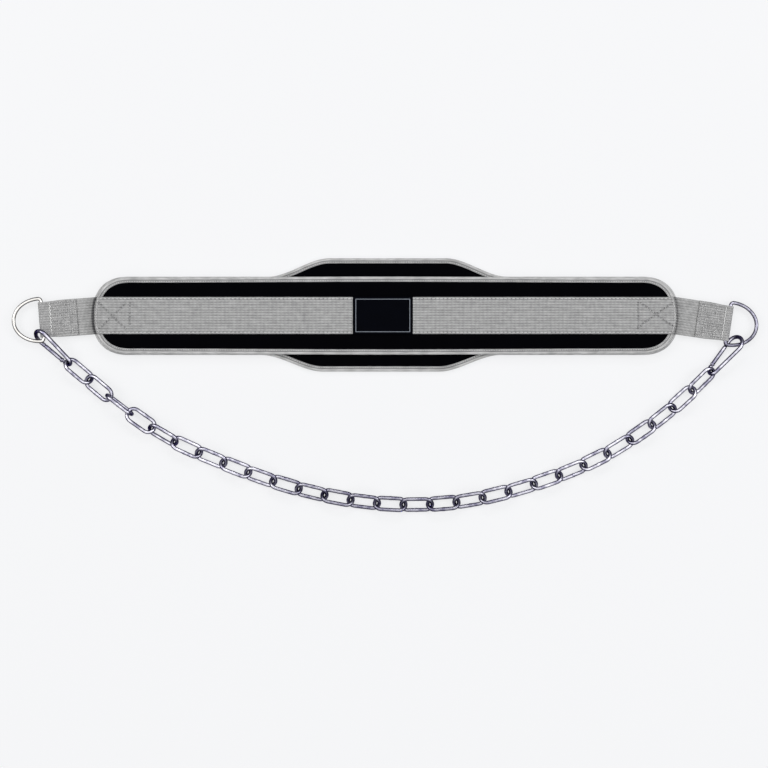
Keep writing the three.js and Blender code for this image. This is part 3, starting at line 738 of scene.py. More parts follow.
def pad_sheet(name, line, halves, length, levels):
    """A closed pad. The levels give edge and body heights, below and above, for any x."""
    below, above = halves
    straight = length / 2 - END_DEPTH
    tip_reach = END_DEPTH - PAD_INSET - 0.5
    tip = straight + tip_reach * np.sin(np.linspace(0, math.pi / 2, 20))
    middle = np.linspace(-straight, straight, round(2 * straight / PAD_STEP))[1:-1]
    x = np.concatenate([-tip[::-1], middle, tip])
    count = round((below(0) + above(0)) / PAD_STEP) // 2 * 2
    spread = np.linspace(-0.5, 0.5, count + 1)
    spread = np.sin(spread * math.pi) * 0.5 + spread
    share = end_share(x * length / (length - 2 * PAD_INSET), length)
    low_y, high_y = -(below(x) - PAD_INSET) * share, (above(x) - PAD_INSET) * share
    ys = (low_y + high_y)[:, None] / 2 + (high_y - low_y)[:, None] / 2 * spread
    xs = np.repeat(x[:, None], count + 1, 1)
    depth = depth_inside(line, xs, ys)
    rise = 1 - (1 - np.clip((depth - PINCHED_DEPTH) / RISE_DEPTH, 0, 1)) ** RISE_POWER
    edge_low, edge_top, body_low, body_top = (level(xs) for level in levels)
    upper = np.stack([xs, ys, edge_top + rise * (body_top - edge_top)], -1)
    lower = np.stack([xs, ys, edge_low + rise * (body_low - edge_low)], -1)
    rows = np.concatenate([upper, lower[:, ::-1]], 1)
    depth = np.concatenate([depth, depth[:, ::-1]], 1)
    return loft(name, in_frame(rows), cover), rows.reshape(-1, 3), depth.ravel()


front_pad, front_points, front_depth = pad_sheet(
    "front_pad", front_edge[0], (front_half, front_half), FRONT_LENGTH, (
        lambda x: front_low_edge(x) + PINCHED_LOW, lambda x: front_low_edge(x) + FRONT_PINCHED_TOP,
        front_low_edge, lambda x: FRONT_TOP + 0 * x))
back_pad, back_points, back_depth = pad_sheet(
    "back_pad", back_edge[0], (back_below, back_above), BACK_LENGTH, (
        lambda x: PINCHED_LOW + 0 * x, lambda x: BACK_PINCHED_TOP + 0 * x,
        lambda x: 0 * x, lambda x: BACK_TOP - SEWN_DROP * sewn(x)))
print("flat pads:", triangles(front_pad), triangles(back_pad), "triangles")

# %% [markdown]
# Then a cloth simulation blows the cover up from inside. The points that the binding,
# the webbing and the other panel hold down are pinned, so only the free stretches
# crown, as sewn foam does. A soft cap keeps the crown as low as on the real belt. The
# solved shape is written into the mesh, and the cloth modifier is taken off again.

# %% Blow the pads up
PRESSURE, CLOTH_QUALITY, CLOTH_STEPS = 4, 4, 20
FRONT_CROWN, BACK_CROWN = 1.5, 2.2
FRONT_UPPER_SIDE, BACK_UPPER_SIDE = 12.6, 4.4
HELD_DEPTH = 8.6


def crown(pad, held, cap):
    """Swells the points that nothing holds, by at most about cap millimetres."""
    group = pad.vertex_groups.new(name="held")
    group.add([int(i) for i in np.flatnonzero(held)], 1.0, "ADD")
    cloth = pad.modifiers.new("crown", "CLOTH")
    cloth.settings.vertex_group_mass = "held"
    cloth.settings.use_pressure = True
    cloth.settings.uniform_pressure_force = PRESSURE
    cloth.settings.effector_weights.gravity = 0
    cloth.settings.quality = CLOTH_QUALITY
    cloth.point_cache.frame_start = 1
    cloth.point_cache.frame_end = CLOTH_STEPS
    for step in range(1, CLOTH_STEPS + 1):
        bpy.context.scene.frame_set(step)
    solved = pad.evaluated_get(bpy.context.evaluated_depsgraph_get()).data
    start = np.array([v.co for v in pad.data.vertices])
    travel = np.array([v.co for v in solved.vertices]) - start
    reach = np.linalg.norm(travel, axis=1)
    capped = cap * MM * np.tanh(reach / (cap * MM))
    travel *= (capped / np.maximum(reach, 1e-9))[:, None]
    pad.modifiers.remove(cloth)
    pad.vertex_groups.remove(pad.vertex_groups[0])
    pad.data.vertices.foreach_set("co", (start + travel).ravel())
    bpy.context.scene.frame_set(1)
    print(pad.name, "crowned by up to", round(capped.max() / MM, 2), "mm")


under_webbing = np.abs(front_points[:, 1]) < WEBBING_HALF + 0.5
under_front = np.abs(back_points[:, 1]) < front_half(back_points[:, 0]) - 2
front_lower, back_lower = front_points[:, 2] <= FRONT_UPPER_SIDE, back_points[:, 2] <= BACK_UPPER_SIDE
crown(front_pad, front_lower | (front_depth < HELD_DEPTH) | under_webbing, FRONT_CROWN)
crown(back_pad, back_lower | (back_depth < HELD_DEPTH) | under_front, BACK_CROWN)
for pad in (front_pad, back_pad):
    smooth = pad.modifiers.new("smooth", "SUBSURF")
    smooth.levels = smooth.render_levels = 1
dress(front_pad, ["front_panel"])
dress(back_pad, ["back_panel"])

# %% [markdown]
# ## Rows of stitches
#
# Stitches decide where the webbing is pulled down, so they are planned before it.
# A row is a line cut into short dashes. Each dash ends in two needle holes, and the
# cloth dips at every hole. The threads themselves come later, from the same dashes.
# A cross is sewn at each end of the webbing, with one straight row beside it.

# %% Plan the rows
WEBBING_SETBACK = 0.8
EDGE_ROW_Y, EDGE_ROW_END, EDGE_STITCH = 22.6, 386, 5.4
CROSS_STITCH, CROSS_SHARE, CROSS_WANDER = 4.8, 0.58, 0.45
CROSS_ROWS = [
    [(-386, 17.5), (-349, -19)], [(-386, -18), (-349, 17)], [(-344.3, 18), (-344.3, -12)],
    [(343, 17.5), (387, -14.5)], [(343, -14), (387, 17.5)], [(340.3, 18), (340.3, -18)],
]
ZIGZAG_Y, ZIGZAG_CORNERS, ZIGZAG_INSETS = 23, 24, (1.3, 3.6)


def line_through(points, step):
    """Points at equal steps along an open line of given corners."""
    points = np.asarray(points, float)
    length = walked(points)[-1]
    return points_at(np.linspace(0, length, max(2, round(length / step) + 1)), points)


def dashes(points, pitch, share=0.62):
    """Cuts a line into dashes: an array of pairs of ends."""
    fine = line_through(points, 0.25)
    length = walked(fine)[-1]
    count = max(1, round(length / pitch))
    middle = (np.arange(count) + 0.5) * length / count
    half = length / count * share / 2
    return np.stack([points_at(middle - half, fine), points_at(middle + half, fine)], 1)


def joined(line):
    """Every stretch of a line as a pair of ends."""
    return np.stack([line[:-1], line[1:]], 1)


def zigzag(middle, swing, ys):
    """A line along y that jumps from one side of the middle to the other."""
    return np.stack([middle + np.where(np.arange(len(ys)) % 2 == 0, -swing, swing), ys], 1)


def webbing_reach(y):
    """How far from the middle the webbing ends, just inside the panel's round end."""
    round_part = END_DEPTH * (1 - (np.abs(y) / FRONT_HALF) ** END_POWER) ** (1 / END_POWER)
    return FRONT_LENGTH / 2 - END_DEPTH + round_part - WEBBING_SETBACK


edge_dashes = np.vstack([
    dashes([(-EDGE_ROW_END, y), (EDGE_ROW_END, y)], EDGE_STITCH) for y in (-EDGE_ROW_Y, EDGE_ROW_Y)])
wander = np.random.default_rng(3)
cross_dashes = np.vstack([dashes(row, CROSS_STITCH, CROSS_SHARE) for row in CROSS_ROWS])
cross_dashes += wander.uniform(-CROSS_WANDER, CROSS_WANDER, cross_dashes.shape)
zigzag_ys = np.linspace(-ZIGZAG_Y, ZIGZAG_Y, ZIGZAG_CORNERS)
zigzag_xs = webbing_reach(zigzag_ys) - np.resize(ZIGZAG_INSETS, ZIGZAG_CORNERS)
zigzag_dashes = np.vstack([joined(np.stack([out * zigzag_xs, zigzag_ys], 1)) for out in (1, -1)])
print("planned", len(edge_dashes), "edge stitches and", len(cross_dashes), "cross stitches")

# %% [markdown]
# ## Webbing
#
# Heavy webbing is woven in ribs. A normal map could fake them, but the ribs catch the
# light along the whole belt, so they are real here: fourteen rounded ribs across a
# strip that is less than two millimetres thick. Where the sewing is dense the rows of
# points stand closer together, so that each needle hole has points of its own.

# %% Ribs and needle holes
RIB_MARKS, RIB_ROUNDNESS = (0, 0.1, 0.28, 0.5, 0.72, 0.9), 0.55
rib_places = np.array([*[k + mark for k in range(RIB_COUNT) for mark in RIB_MARKS], RIB_COUNT], float)
rib_ys = -WEBBING_HALF + rib_places * RIB_PITCH
ribs = np.abs(np.sin(np.pi * rib_places)) ** RIB_ROUNDNESS


def pull_of(holes, points, width, weakest=1.0):
    """How strongly the nearest needle hole pulls at each flat point, 0 to 1."""
    strength = np.random.default_rng(5).uniform(weakest, 1, len(holes))
    finder = kdtree.KDTree(len(holes))
    for index, (a, b) in enumerate(holes):
        finder.insert((a, b, 0), index)
    finder.balance()
    found = [finder.find((a, b, 0)) for a, b in points]
    distance = np.array([hit[2] for hit in found])
    return np.exp(-(distance / width) ** 2) * strength[[hit[1] for hit in found]]


def holes_of(*rows):
    """Both ends of every dash in some rows of stitches."""
    return np.vstack([pairs.reshape(-1, 2) for pairs in rows])


print("each rib has", len(RIB_MARKS), "points, and the strip", len(rib_places), "across")

# %% [markdown]
# The strip runs over the whole panel and ends on its binding, so its ends follow the
# panel's round. Its two edges are rolled down a little. One soft crease crosses it
# left of the label, where the real belt has been bent.

# %% Ribbed strip
DENSE_FROM, DENSE_TO, DENSE_STEP, MIDDLE_ROWS = 332, 392.6, 0.85, 270
RIB_DEPTH, ROLL_DEPTH, ROLL_FROM = 0.5, 0.5, 23.6
STRONG_DIP, LIGHT_DIP, CREASE_DIP, UNEVEN = 0.85, 0.3, 0.25, 0.05
CREASE_X, CREASE_WIDTH = -108.6, 1.3
FOOT_TURN = 1.5

dense = np.arange(DENSE_FROM, DENSE_TO, DENSE_STEP)
middle_steps = np.linspace(-DENSE_FROM, DENSE_FROM, MIDDLE_ROWS)[1:-1]
stations = np.concatenate([-dense[::-1], middle_steps, dense])
end_cut = webbing_reach(rib_ys) - webbing_reach(0)
cut = end_cut * ease(np.abs(stations), DENSE_FROM + 2, DENSE_TO - 0.4)[:, None] ** 2
x = (stations * webbing_reach(0) / dense[-1])[:, None] + np.sign(stations)[:, None] * cut
y = np.repeat(rib_ys[None], len(stations), 0)
flat_points = np.stack([x.ravel(), y.ravel()], 1)
strong = pull_of(holes_of(cross_dashes), flat_points, 1.0, 0.3).reshape(x.shape)
light = pull_of(holes_of(edge_dashes, zigzag_dashes), flat_points, 0.8).reshape(x.shape)
crease = np.exp(-((x - CREASE_X) / CREASE_WIDTH) ** 2) * ease(y, -14, -6) * (1 - ease(y, 14, 20))
top = WEBBING_TOP - 0.1 - RIB_DEPTH * (1 - ribs)
top = top - ROLL_DEPTH * ease(np.abs(y), ROLL_FROM, WEBBING_HALF) ** 2
top = top + UNEVEN * (np.sin(x * 0.021) + np.sin(x * 0.057 + y * 0.03))
top = top - STRONG_DIP * strong - LIGHT_DIP * light - CREASE_DIP * crease
upper = np.stack([x, y, np.maximum(top, WEBBING_LOW + 0.25)], -1)
feet = [upper[:, k:k + 1] * [1, 0.99, 0] + [0, 0, WEBBING_LOW] for k in (0, len(rib_ys) - 1)]
across = np.array([rib_ys[0] - FOOT_TURN, *rib_ys, rib_ys[-1] + FOOT_TURN, rib_ys[0] - FOOT_TURN])
webbing = loft("webbing_strip", in_frame(np.concatenate([feet[0], upper, feet[1]], 1)), strap,
               along=stations * MM, across=across * MM)
# Painted shade: darker at the stitch dips, in the crease and in the furrows between ribs.
painted_shade = np.clip(1.1 * strong + 0.5 * light + 0.3 * crease + 0.6 * (1 - ribs) ** 1.6, 0, 1)
store_painted_shade(webbing, np.pad(painted_shade, ((0, 0), (1, 1))))
dress(webbing, ["front_webbing"])

# %% [markdown]
# ## Label
#
# The label lies across the webbing. It is a thin patch with turned edges. Its points
# are laid so that the light line near the edge gets faces of its own, and those are
# raised a little, as a woven line is. The patch is left bare.

# %% Label patch
LABEL_HALF = (40.5, 25.3)
LABEL_MIDDLE, LABEL_LOW, LABEL_TOP = -3.5, 19.9, 20.9
LABEL_TURN, LABEL_STEP = 0.9, 1.2
LINE_INSET, LINE_WIDTH, LINE_RISE = (3.7, 2.9), 0.9, 0.18
LINE_HALF = tuple(half - inset for half, inset in zip(LABEL_HALF, LINE_INSET))


def label_marks(half, line_half):
    """Places of the points along one side of the label, closer at its edge and line."""
    inside = line_half - LINE_WIDTH
    inner = np.linspace(-inside, inside, round(2 * half / LABEL_STEP))
    edge = np.array([line_half, line_half + 0.15, half - LABEL_TURN, half - 0.35, half - 0.08])
    line = np.array([inside + 0.12, line_half - 0.12])
    return np.sort(np.concatenate([inner, edge, -edge, line, -line]))


def inside_box(x, y, half):
    """How far a point lies inside a box round the label's middle."""
    return np.minimum(half[0] - np.abs(x), half[1] - np.abs(y))


def label_patch():
    xs, ys = (label_marks(half, line_half) for half, line_half in zip(LABEL_HALF, LINE_HALF))
    gx, gy = np.meshgrid(xs, ys, indexing="ij")
    from_line = inside_box(gx, gy, LINE_HALF)
    on_line = (from_line > 0.05) & (from_line < LINE_WIDTH - 0.05)
    turned = 0.5 * (1 - np.clip(inside_box(gx, gy, LABEL_HALF) / LABEL_TURN, 0, 1)) ** 2
    soft = 0.08 * np.sin(gx * 0.16 + 0.5) * np.cos(gy * 0.13)
    top = LABEL_TOP - 0.2 - turned + soft + LINE_RISE * on_line
    shape = bmesh.new()
    sheets = [in_frame(np.stack([gx + LABEL_MIDDLE, gy, z], -1)) for z in (top, np.full(gx.shape, LABEL_LOW))]
    upper, lower = [[[shape.verts.new(p) for p in row] for row in sheet] for sheet in sheets]
    for i in range(len(xs) - 1):
        for j in range(len(ys) - 1):
            face = shape.faces.new([upper[i][j], upper[i + 1][j], upper[i + 1][j + 1], upper[i][j + 1]])
            away = inside_box((xs[i] + xs[i + 1]) / 2, (ys[j] + ys[j + 1]) / 2, LINE_HALF)
            face.material_index = int(0 < away < LINE_WIDTH)
            shape.faces.new([lower[i][j], lower[i][j + 1], lower[i + 1][j + 1], lower[i + 1][j]])
    last_i, last_j = len(xs) - 1, len(ys) - 1
    rim = [(i, 0) for i in range(last_i)] + [(last_i, j) for j in range(last_j)]
    rim += [(i, last_j) for i in range(last_i, 0, -1)] + [(0, j) for j in range(last_j, 0, -1)]
    for (a, b), (c, d) in zip(rim, rim[1:] + rim[:1]):
        shape.faces.new([upper[a][b], lower[a][b], lower[c][d], upper[c][d]])
    mesh = bpy.data.meshes.new("label_patch")
    shape.to_mesh(mesh)
    shape.free()
    mesh.materials.append(satin)
    mesh.materials.append(frame_line)
    face_out(mesh)
    return link_object("label_patch", mesh)


label = label_patch()
dress(label, ["label"])

# %% [markdown]
# ## Tails
#
# At each end a length of webbing comes out from between the two panels, goes round
# the bar of a D-ring and comes back on top of itself, where it is sewn down hard. We
# draw the strap's middle line from the side and sweep the ribbed section along it,
# so the ribs run round the fold without a break.

# %% The strap's line
BAR_X, BAR_HEIGHT, LAYER = 71, 9, 1.7
TAIL_TUCK, TAIL_STEP = 45, 1.15
FOLD_GAP, FOLD_ANGLE, SLOPE_FROM = 2.8, 118, 56.0
TAIL_OUT = {"left": -1, "right": 1}
TAIL_TURN = {"left": 4.4, "right": -8.5}
LAYER_BACK = {"left": 23.4, "right": 28.6}
SIDES = tuple(TAIL_OUT)


def tail_line(side):
    """The strap's middle line from the side, as points x, z."""
    fold = FOLD_GAP + LAYER / 2
    angles = np.radians(np.linspace(-FOLD_ANGLE, FOLD_ANGLE, 24))
    turn = np.stack([BAR_X + fold * np.cos(angles), BAR_HEIGHT + fold * np.sin(angles)], 1)
    low, high = BAR_HEIGHT - LAYER / 2, BAR_HEIGHT + LAYER / 2
    lead = np.linspace(0, 1, 14)[:-1]
    drop = ease(lead, 0, 1) * 0.55 + lead ** 2 * 0.45
    start = np.array([SLOPE_FROM, low])
    down = start + (turn[0] - start) * np.stack([lead, drop], 1)
    up = down[::-1] * [1, -1] + [0, 2 * BAR_HEIGHT]
    run = np.vstack([[(-TAIL_TUCK, low)], down, turn, up, [(LAYER_BACK[side], high)]])
    return line_through(run, TAIL_STEP)


print("strap of one tail is", round(len(tail_line("left")) * TAIL_STEP), "mm long")

# %% [markdown]
# The double layer is sewn down with dense rows across it, and no two machine rows are
# alike. A seeded random generator lets each row wander and skip a stitch here and
# there. Next to the ring one light zigzag closes the loop: it is wide on the left
# tail and narrow on the right one.

# %% Rows of the sewn stretch
QUILT_START, QUILT_END = 2.2, {"left": 56.5, "right": 62.5}
QUILT_ROW, QUILT_STITCH, QUILT_SWING, QUILT_KEPT = 2.9, 2.7, 0.9, 0.86
QUILT_Y, LOOP_Y, END_ROW_Y = 22.6, 22.5, 23
LOOP_ZIGZAG = {"left": (59.4, 1.15, 2.7), "right": (65.0, 0.5, 2.4)}


def tail_quilting(side):
    """Dense rows of short stitches that wander, as a sewing machine leaves them."""
    chance = np.random.default_rng(11 if side == "left" else 12)
    rows = []
    for x in np.arange(LAYER_BACK[side] + QUILT_START, QUILT_END[side], QUILT_ROW):
        ys = np.arange(-QUILT_Y, QUILT_Y + 0.1, QUILT_STITCH) + chance.uniform(-0.6, 0.6)
        line = zigzag(x, QUILT_SWING, ys)
        line[:, 0] += chance.uniform(-0.7, 0.7, len(ys))
        line[:, 1] += chance.uniform(-0.5, 0.5, len(ys))
        stitches = joined(line)[chance.random(len(ys) - 1) < QUILT_KEPT]
        rows.append(stitches * 0.86 + stitches[:, ::-1] * 0.14)
    end_x = LAYER_BACK[side] + 1.2
    rows.append(dashes([(end_x, -END_ROW_Y), (end_x, END_ROW_Y)], 2.6, 0.7))
    return np.vstack(rows)


def loop_zigzag(side):
    middle, swing, step = LOOP_ZIGZAG[side]
    return joined(zigzag(middle, swing, np.arange(-LOOP_Y, LOOP_Y + 0.1, step)))


quilting = {side: tail_quilting(side) for side in SIDES}
loop_row = {side: loop_zigzag(side) for side in SIDES}
print("stitches on the left tail:", len(quilting["left"]) + len(loop_row["left"]))

# %% [markdown]
# Each tail leaves its end of the front panel at a small angle of its own, so it is
# shaped in its own frame first and then turned into place. Only the upper layer has
# needle holes. Where a tail comes out from under the panels it lies in deep shadow,
# and a short strip of painted shadow darkens it there. Its dips and furrows get painted shade.

# %% Sweep the tails
TAIL_NARROWING, TAIL_RIB_TOP, TAIL_RIB_UNDER = 0.05, 0.42, 0.32
TAIL_ROLL, TAIL_ROLL_FROM, TAIL_DIP, RIB_CLEARANCE = 0.35, 23.4, 0.5, 0.03
SHADOW_DEPTH, SHADOW_NEAR, SHADOW_FAR = (
    {"left": 0.85, "right": 0.55}, {"left": 3.2, "right": 2.2}, {"left": 5.6, "right": 3.8})


def tail_place(side, points):
    """From the tail's own frame to millimetres from the front panel's middle."""
    out = TAIL_OUT[side]
    angle = math.radians(TAIL_TURN[side]) + (math.pi if out < 0 else 0)
    points = np.asarray(points, float)
    x = points[..., 0] * math.cos(angle) - points[..., 1] * math.sin(angle) + out * FRONT_LENGTH / 2
    y = points[..., 0] * math.sin(angle) + points[..., 1] * math.cos(angle)
    return np.stack([x, y, points[..., 2]], -1)


def off_line(line, normal, y, offset):
    """The strap's line moved to one of its faces, for every place across the strap."""
    moved = line[:, None] + normal[:, None] * np.maximum(offset, 0.1)[..., None]
    return np.stack([moved[..., 0], y, moved[..., 1]], -1)


def tail_strap(side):
    line = tail_line(side)
    along = np.gradient(line, axis=0)
    along /= np.linalg.norm(along, axis=1)[:, None]
    normal = np.stack([along[:, 1], -along[:, 0]], 1)
    y = rib_ys * (1 - TAIL_NARROWING * ease(line[:, 0], 40, 68))[:, None]
    x = np.repeat(line[:, :1], y.shape[1], 1)
    upper_layer = (np.arange(len(line)) > len(line) / 2)[:, None]
    holes = holes_of(quilting[side], loop_row[side])
    pull = pull_of(holes, np.stack([x.ravel(), y.ravel()], 1), 0.9, 0.15).reshape(y.shape) * upper_layer
    face = LAYER / 2 - RIB_CLEARANCE - TAIL_ROLL * ease(np.abs(y), TAIL_ROLL_FROM, WEBBING_HALF) ** 2
    outer = off_line(line, normal, y, face - TAIL_RIB_TOP * (1 - ribs) - TAIL_DIP * pull)
    inner = off_line(line, -normal, y, face - TAIL_RIB_UNDER * (1 - ribs))
    rows = tail_place(side, np.concatenate([outer, inner[:, ::-1]], 1))
    across = np.concatenate([y[0], y[0][::-1], y[0][:1]])
    piece = loft(f"tail_strap_{side}", in_frame(rows), strap, along=walked(line) * MM, across=across * MM)
    spots = tail_place(side, np.stack([x, y, 0 * y], -1))
    past_panel = np.abs(spots[..., 0]) - webbing_reach(spots[..., 1]) - WEBBING_SETBACK
    near, far = SHADOW_NEAR[side], SHADOW_FAR[side]
    # Painted shadow where the tail comes out from under the panels, and painted shade at the stitch dips and
    # furrows.
    painted_shadow = 1 - 0.8 * ease(past_panel, near, far) - 0.2 * ease(past_panel, far, 3 * far)
    painted_shade = 1.1 * pull ** 1.3 + 0.5 * (1 - ribs) ** 1.6 + SHADOW_DEPTH[side] * painted_shadow
    painted_shade = np.clip(painted_shade, 0, 1)
    store_painted_shade(piece, np.concatenate([painted_shade, painted_shade[:, ::-1]], 1))
    return piece


for side in SIDES:
    dress(tail_strap(side), [f"tail_{side}"])

# %% [markdown]
# ## D-rings
#
# A D-ring is bent from one round wire: a straight bar, two tight corners and a bow.
# The wire's middle line is drawn flat, then a circle is swept along it.

# %% Bend the rings
RING_HALF, RING_CORNER, RING_DEPTH, RING_WIRE = 28.75, 3.75, 39, 5
RING_SIDES, RING_STEP = 20, 1.25
RING_TILT = {"left": 1, "right": 3}
DRESSED_WIRE = 0.985


def arc(centre, radius_x, radius_y, start, end, count):
    angles = np.radians(np.linspace(start, end, count))
    return np.stack([centre[0] + radius_x * np.cos(angles), centre[1] + radius_y * np.sin(angles)], 1)


def round_wire(line, radius, sides, closed, squeeze=None):
    """Circles of wire along a flat line, as rows of points in the line's own frame."""
    before = np.roll(line, 1, 0) if closed else np.vstack([line[:1], line[:-1]])
    after = np.roll(line, -1, 0) if closed else np.vstack([line[1:], line[-1:]])
    along = after - before
    along /= np.linalg.norm(along, axis=1)[:, None]
    angles = np.linspace(0, 2 * math.pi, sides, endpoint=False)
    radius = np.broadcast_to(radius, len(line))[:, None]
    side = radius * np.cos(angles)[None]
    up = radius * np.sin(angles)[None]
    if squeeze is not None:
        up = np.clip(up, -squeeze[:, None], squeeze[:, None])
    x = line[:, :1] - along[:, 1:] * side
    y = line[:, 1:] + along[:, :1] * side
    return np.stack([x, y, up], -1)


def ring_line():
    bend = arc((RING_CORNER, -RING_HALF + RING_CORNER), RING_CORNER, RING_CORNER, 180, 270, 14)
    bow = arc((RING_CORNER, 0), RING_DEPTH - RING_CORNER, RING_HALF, -90, 90, 120)
    other = bend[::-1] * [1, -1]
    return even_steps(np.vstack([bend, bow[1:-1], other]), RING_STEP)[0]


def bend_ring(side, finish):
    tilt = math.radians(RING_TILT[side])
    rows = round_wire(ring_line(), RING_WIRE / 2 * DRESSED_WIRE, RING_SIDES, True)
    x = BAR_X + rows[..., 0] * math.cos(tilt) + rows[..., 2] * math.sin(tilt)
    z = BAR_HEIGHT - rows[..., 0] * math.sin(tilt) + rows[..., 2] * math.cos(tilt)
    placed = tail_place(side, np.stack([x, rows[..., 1], z], -1))
    return loft(f"ring_{side}", in_frame(placed), finish, ring=True)


for side, finish in (("left", chrome), ("right", violet_chrome)):
    ring = bend_ring(side, finish)
    store_painted_edge_shade(ring)
    dress(ring, [f"d_ring_{side}"])

# %% [markdown]
# ## Snap hooks
#
# Each hook is a pear of round wire: a wide bend that holds the ring, a narrow one
# that holds the chain. One leg is cut open and closed by a gate that swings inwards
# on a rivet. The hook's own frame comes from the hinge: the hinge gives the rivet
# and the axis, and the gate's solid gives the direction of the leg.

# %% The hooks' frames
HOOK_LENGTH, HOOK_WIRE, WIDE_BEND, NARROW_BEND = 68, 5.5, 11.75, 6.5
NOSE_SETBACK, PIVOT_UP, NOSE_GAP = 8, 6, 0.3
BEND_DISTANCE = HOOK_LENGTH - WIDE_BEND - NARROW_BEND - HOOK_WIRE
TAPER = math.asin((WIDE_BEND - NARROW_BEND) / BEND_DISTANCE)
LEG_LENGTH = BEND_DISTANCE * math.cos(TAPER)
NOSE_END = LEG_LENGTH - NOSE_SETBACK
GATE_REACH = NOSE_END - PIVOT_UP - NOSE_GAP


def leg_point(up):
    foot = np.array([-math.sin(TAPER), math.cos(TAPER)]) * NARROW_BEND
    return foot + np.array([math.cos(TAPER), math.sin(TAPER)]) * up


PIVOT = leg_point(PIVOT_UP)


def gate_frame(side):
    """The rivet's middle and three directions: along the gate, outwards, and the axis."""
    joint = next(j for j in frame["joints"] if j["name"] == f"{side}_gate_hinge")
    rivet = np.array(joint["pos_m"])
    solid = np.array([v.co for v in frame["nodes"][f"gate_{side}"].data.vertices])
    away = np.linalg.norm(solid - rivet, axis=1)
    along = solid[away > (GATE_REACH - 1) * MM].mean(0) - rivet
    axis = -np.array(joint["axis"])
    axis /= np.linalg.norm(axis)
    along -= axis * (along @ axis)
    along /= np.linalg.norm(along)
    return rivet, np.stack([along, np.cross(axis, along), axis])


def hook_frame(side):
    rivet, (along, outwards, axis) = gate_frame(side)
    u = math.cos(TAPER) * along - math.sin(TAPER) * outwards
    v = math.sin(TAPER) * along + math.cos(TAPER) * outwards
    return rivet - (PIVOT[0] * u + PIVOT[1] * v) * MM, np.stack([u, v, axis])


def put(points, placing):
    origin, axes = placing
    return origin + np.asarray(points, float) @ axes * MM


for side in SIDES:
    print(side, "hook points along", [round(v, 3) for v in hook_frame(side)[1][0]])

# %% [markdown]
# The rivet's hole and the gate's fork are cut with Boolean modifiers, as a drill and
# a saw would. The result is taken as a plain mesh, so no modifier is left behind.

# %% Cutting helpers
CRISP_ANGLE = 35


def lathe(profile, sides):
    """Circles from pairs of radius and height, as rows of points."""
    angles = np.linspace(0, 2 * math.pi, sides, endpoint=False)
    circle = np.stack([np.cos(angles), np.sin(angles), 0 * angles], 1)
    return np.array([circle * radius + [0, 0, height] for radius, height in profile])


def brick(low, high):
    (a, b, c), (d, e, f) = low, high
    return np.array([[(a, b, z), (d, b, z), (d, e, z), (a, e, z)] for z in (c, f)], float)


def cut_away(piece, cutters):
    for rows, placing in cutters:
        cutter = loft("cutter", put(rows, placing), piece.data.materials[0])
        cutting = piece.modifiers.new("cut", "BOOLEAN")
        cutting.operation, cutting.object, cutting.solver = "DIFFERENCE", cutter, "EXACT"
        graph = bpy.context.evaluated_depsgraph_get()
        mesh = bpy.data.meshes.new_from_object(piece.evaluated_get(graph))
        piece.modifiers.remove(cutting)
        old, piece.data = piece.data, mesh
        bpy.data.meshes.remove(old)
        bpy.data.objects.remove(cutter)
    piece.data.name = piece.name
    shade_by_angle(piece.data, CRISP_ANGLE)


def shade_by_angle(mesh, degrees):
    """Smooth shading, with sharp edges where faces meet at more than this angle."""
    shape = bmesh.new()
    shape.from_mesh(mesh)
    for face in shape.faces:
        face.smooth = True
    for edge in shape.edges:
        edge.smooth = len(edge.link_faces) == 2 and edge.calc_face_angle(0) < math.radians(degrees)
    shape.to_mesh(mesh)
    shape.free()


print("hook wire", HOOK_WIRE, "mm, gate", round(GATE_REACH, 1), "mm long")

# %% [markdown]
# The wire of the hook is flattened to a tang where the gate's fork goes round it, and
# ends in a round eye. The free end of the wire, the nose, has a slight chamfer.

# %% Forge the hooks
WIRE_SIDES, FULL_ROUND, HAIR = 24, 9.0, 0.02
NOSE_CHAMFER = {0: 0.55, 0.12: 0.25, 0.45: 0.06, 2.5: 0, 5: 0}
TANG_PLACES = np.array([2.2, 2.75, 2.95, 3.2, 4.2, 5.2, 6, 6.8, 7.4, 7.9, 8.3, 8.55, 8.7])
TANG_EYE, TANG_HALF, TANG_SHOULDER = 2.7, 1.0, 1.9
GATE_EYE, GATE_HALF = 2.72, 2.7
GATE_PLACES = np.array([
    -2.7, -2.6, -2.3, -1.8, -1.1, 0, 1.2, 2.6, 4, 8, 14, 20, 25, 28.4, 29.2, 29.5, GATE_REACH])
GATE_TIP = (2.62, 2.4, 2.1)
FORK_LOW, FORK_HIGH = (-3.05, -5, -1.3), (3.05, 5, 1.3)
HOLE_RADIUS, HOLE_REACH = 1.2, 6
RIVET_ANGLE = 40
RIVET_DOME = [(0.05, 3.62), (0.5, 3.58), (0.95, 3.45), (1.3, 3.25), (1.48, 3.05), (0.9, 3.05)]


def hook_rows():
    """The hook's wire from its nose, round both bends, to the flat tang."""
    lean = math.degrees(TAPER)
    wide = arc((BEND_DISTANCE, 0), WIDE_BEND, WIDE_BEND, 90 + lean, -90 - lean, 60)
    narrow = arc((0, 0), NARROW_BEND, NARROW_BEND, 270 - lean, 90 + lean, 44)
    nose = np.array([leg_point(NOSE_END + place) for place in NOSE_CHAMFER])
    back = line_through([wide[-1], narrow[0]], 4)[1:-1]
    tang = np.array([leg_point(up) for up in TANG_PLACES])
    line = np.vstack([nose, wide, back, narrow, tang])
    radius = np.full(len(line), HOOK_WIRE / 2 * DRESSED_WIRE)
    radius[:len(nose)] -= list(NOSE_CHAMFER.values())
    past = np.clip(TANG_PLACES - PIVOT_UP, 0, None)
    radius[-len(tang):] = np.sqrt(np.maximum(TANG_EYE ** 2 - past ** 2, HAIR))
    squeeze = np.full(len(line), FULL_ROUND)
    squeeze[1 - len(tang):] = TANG_HALF
    squeeze[1 - len(tang)] = TANG_SHOULDER
    return round_wire(line, radius, WIRE_SIDES, False, squeeze)


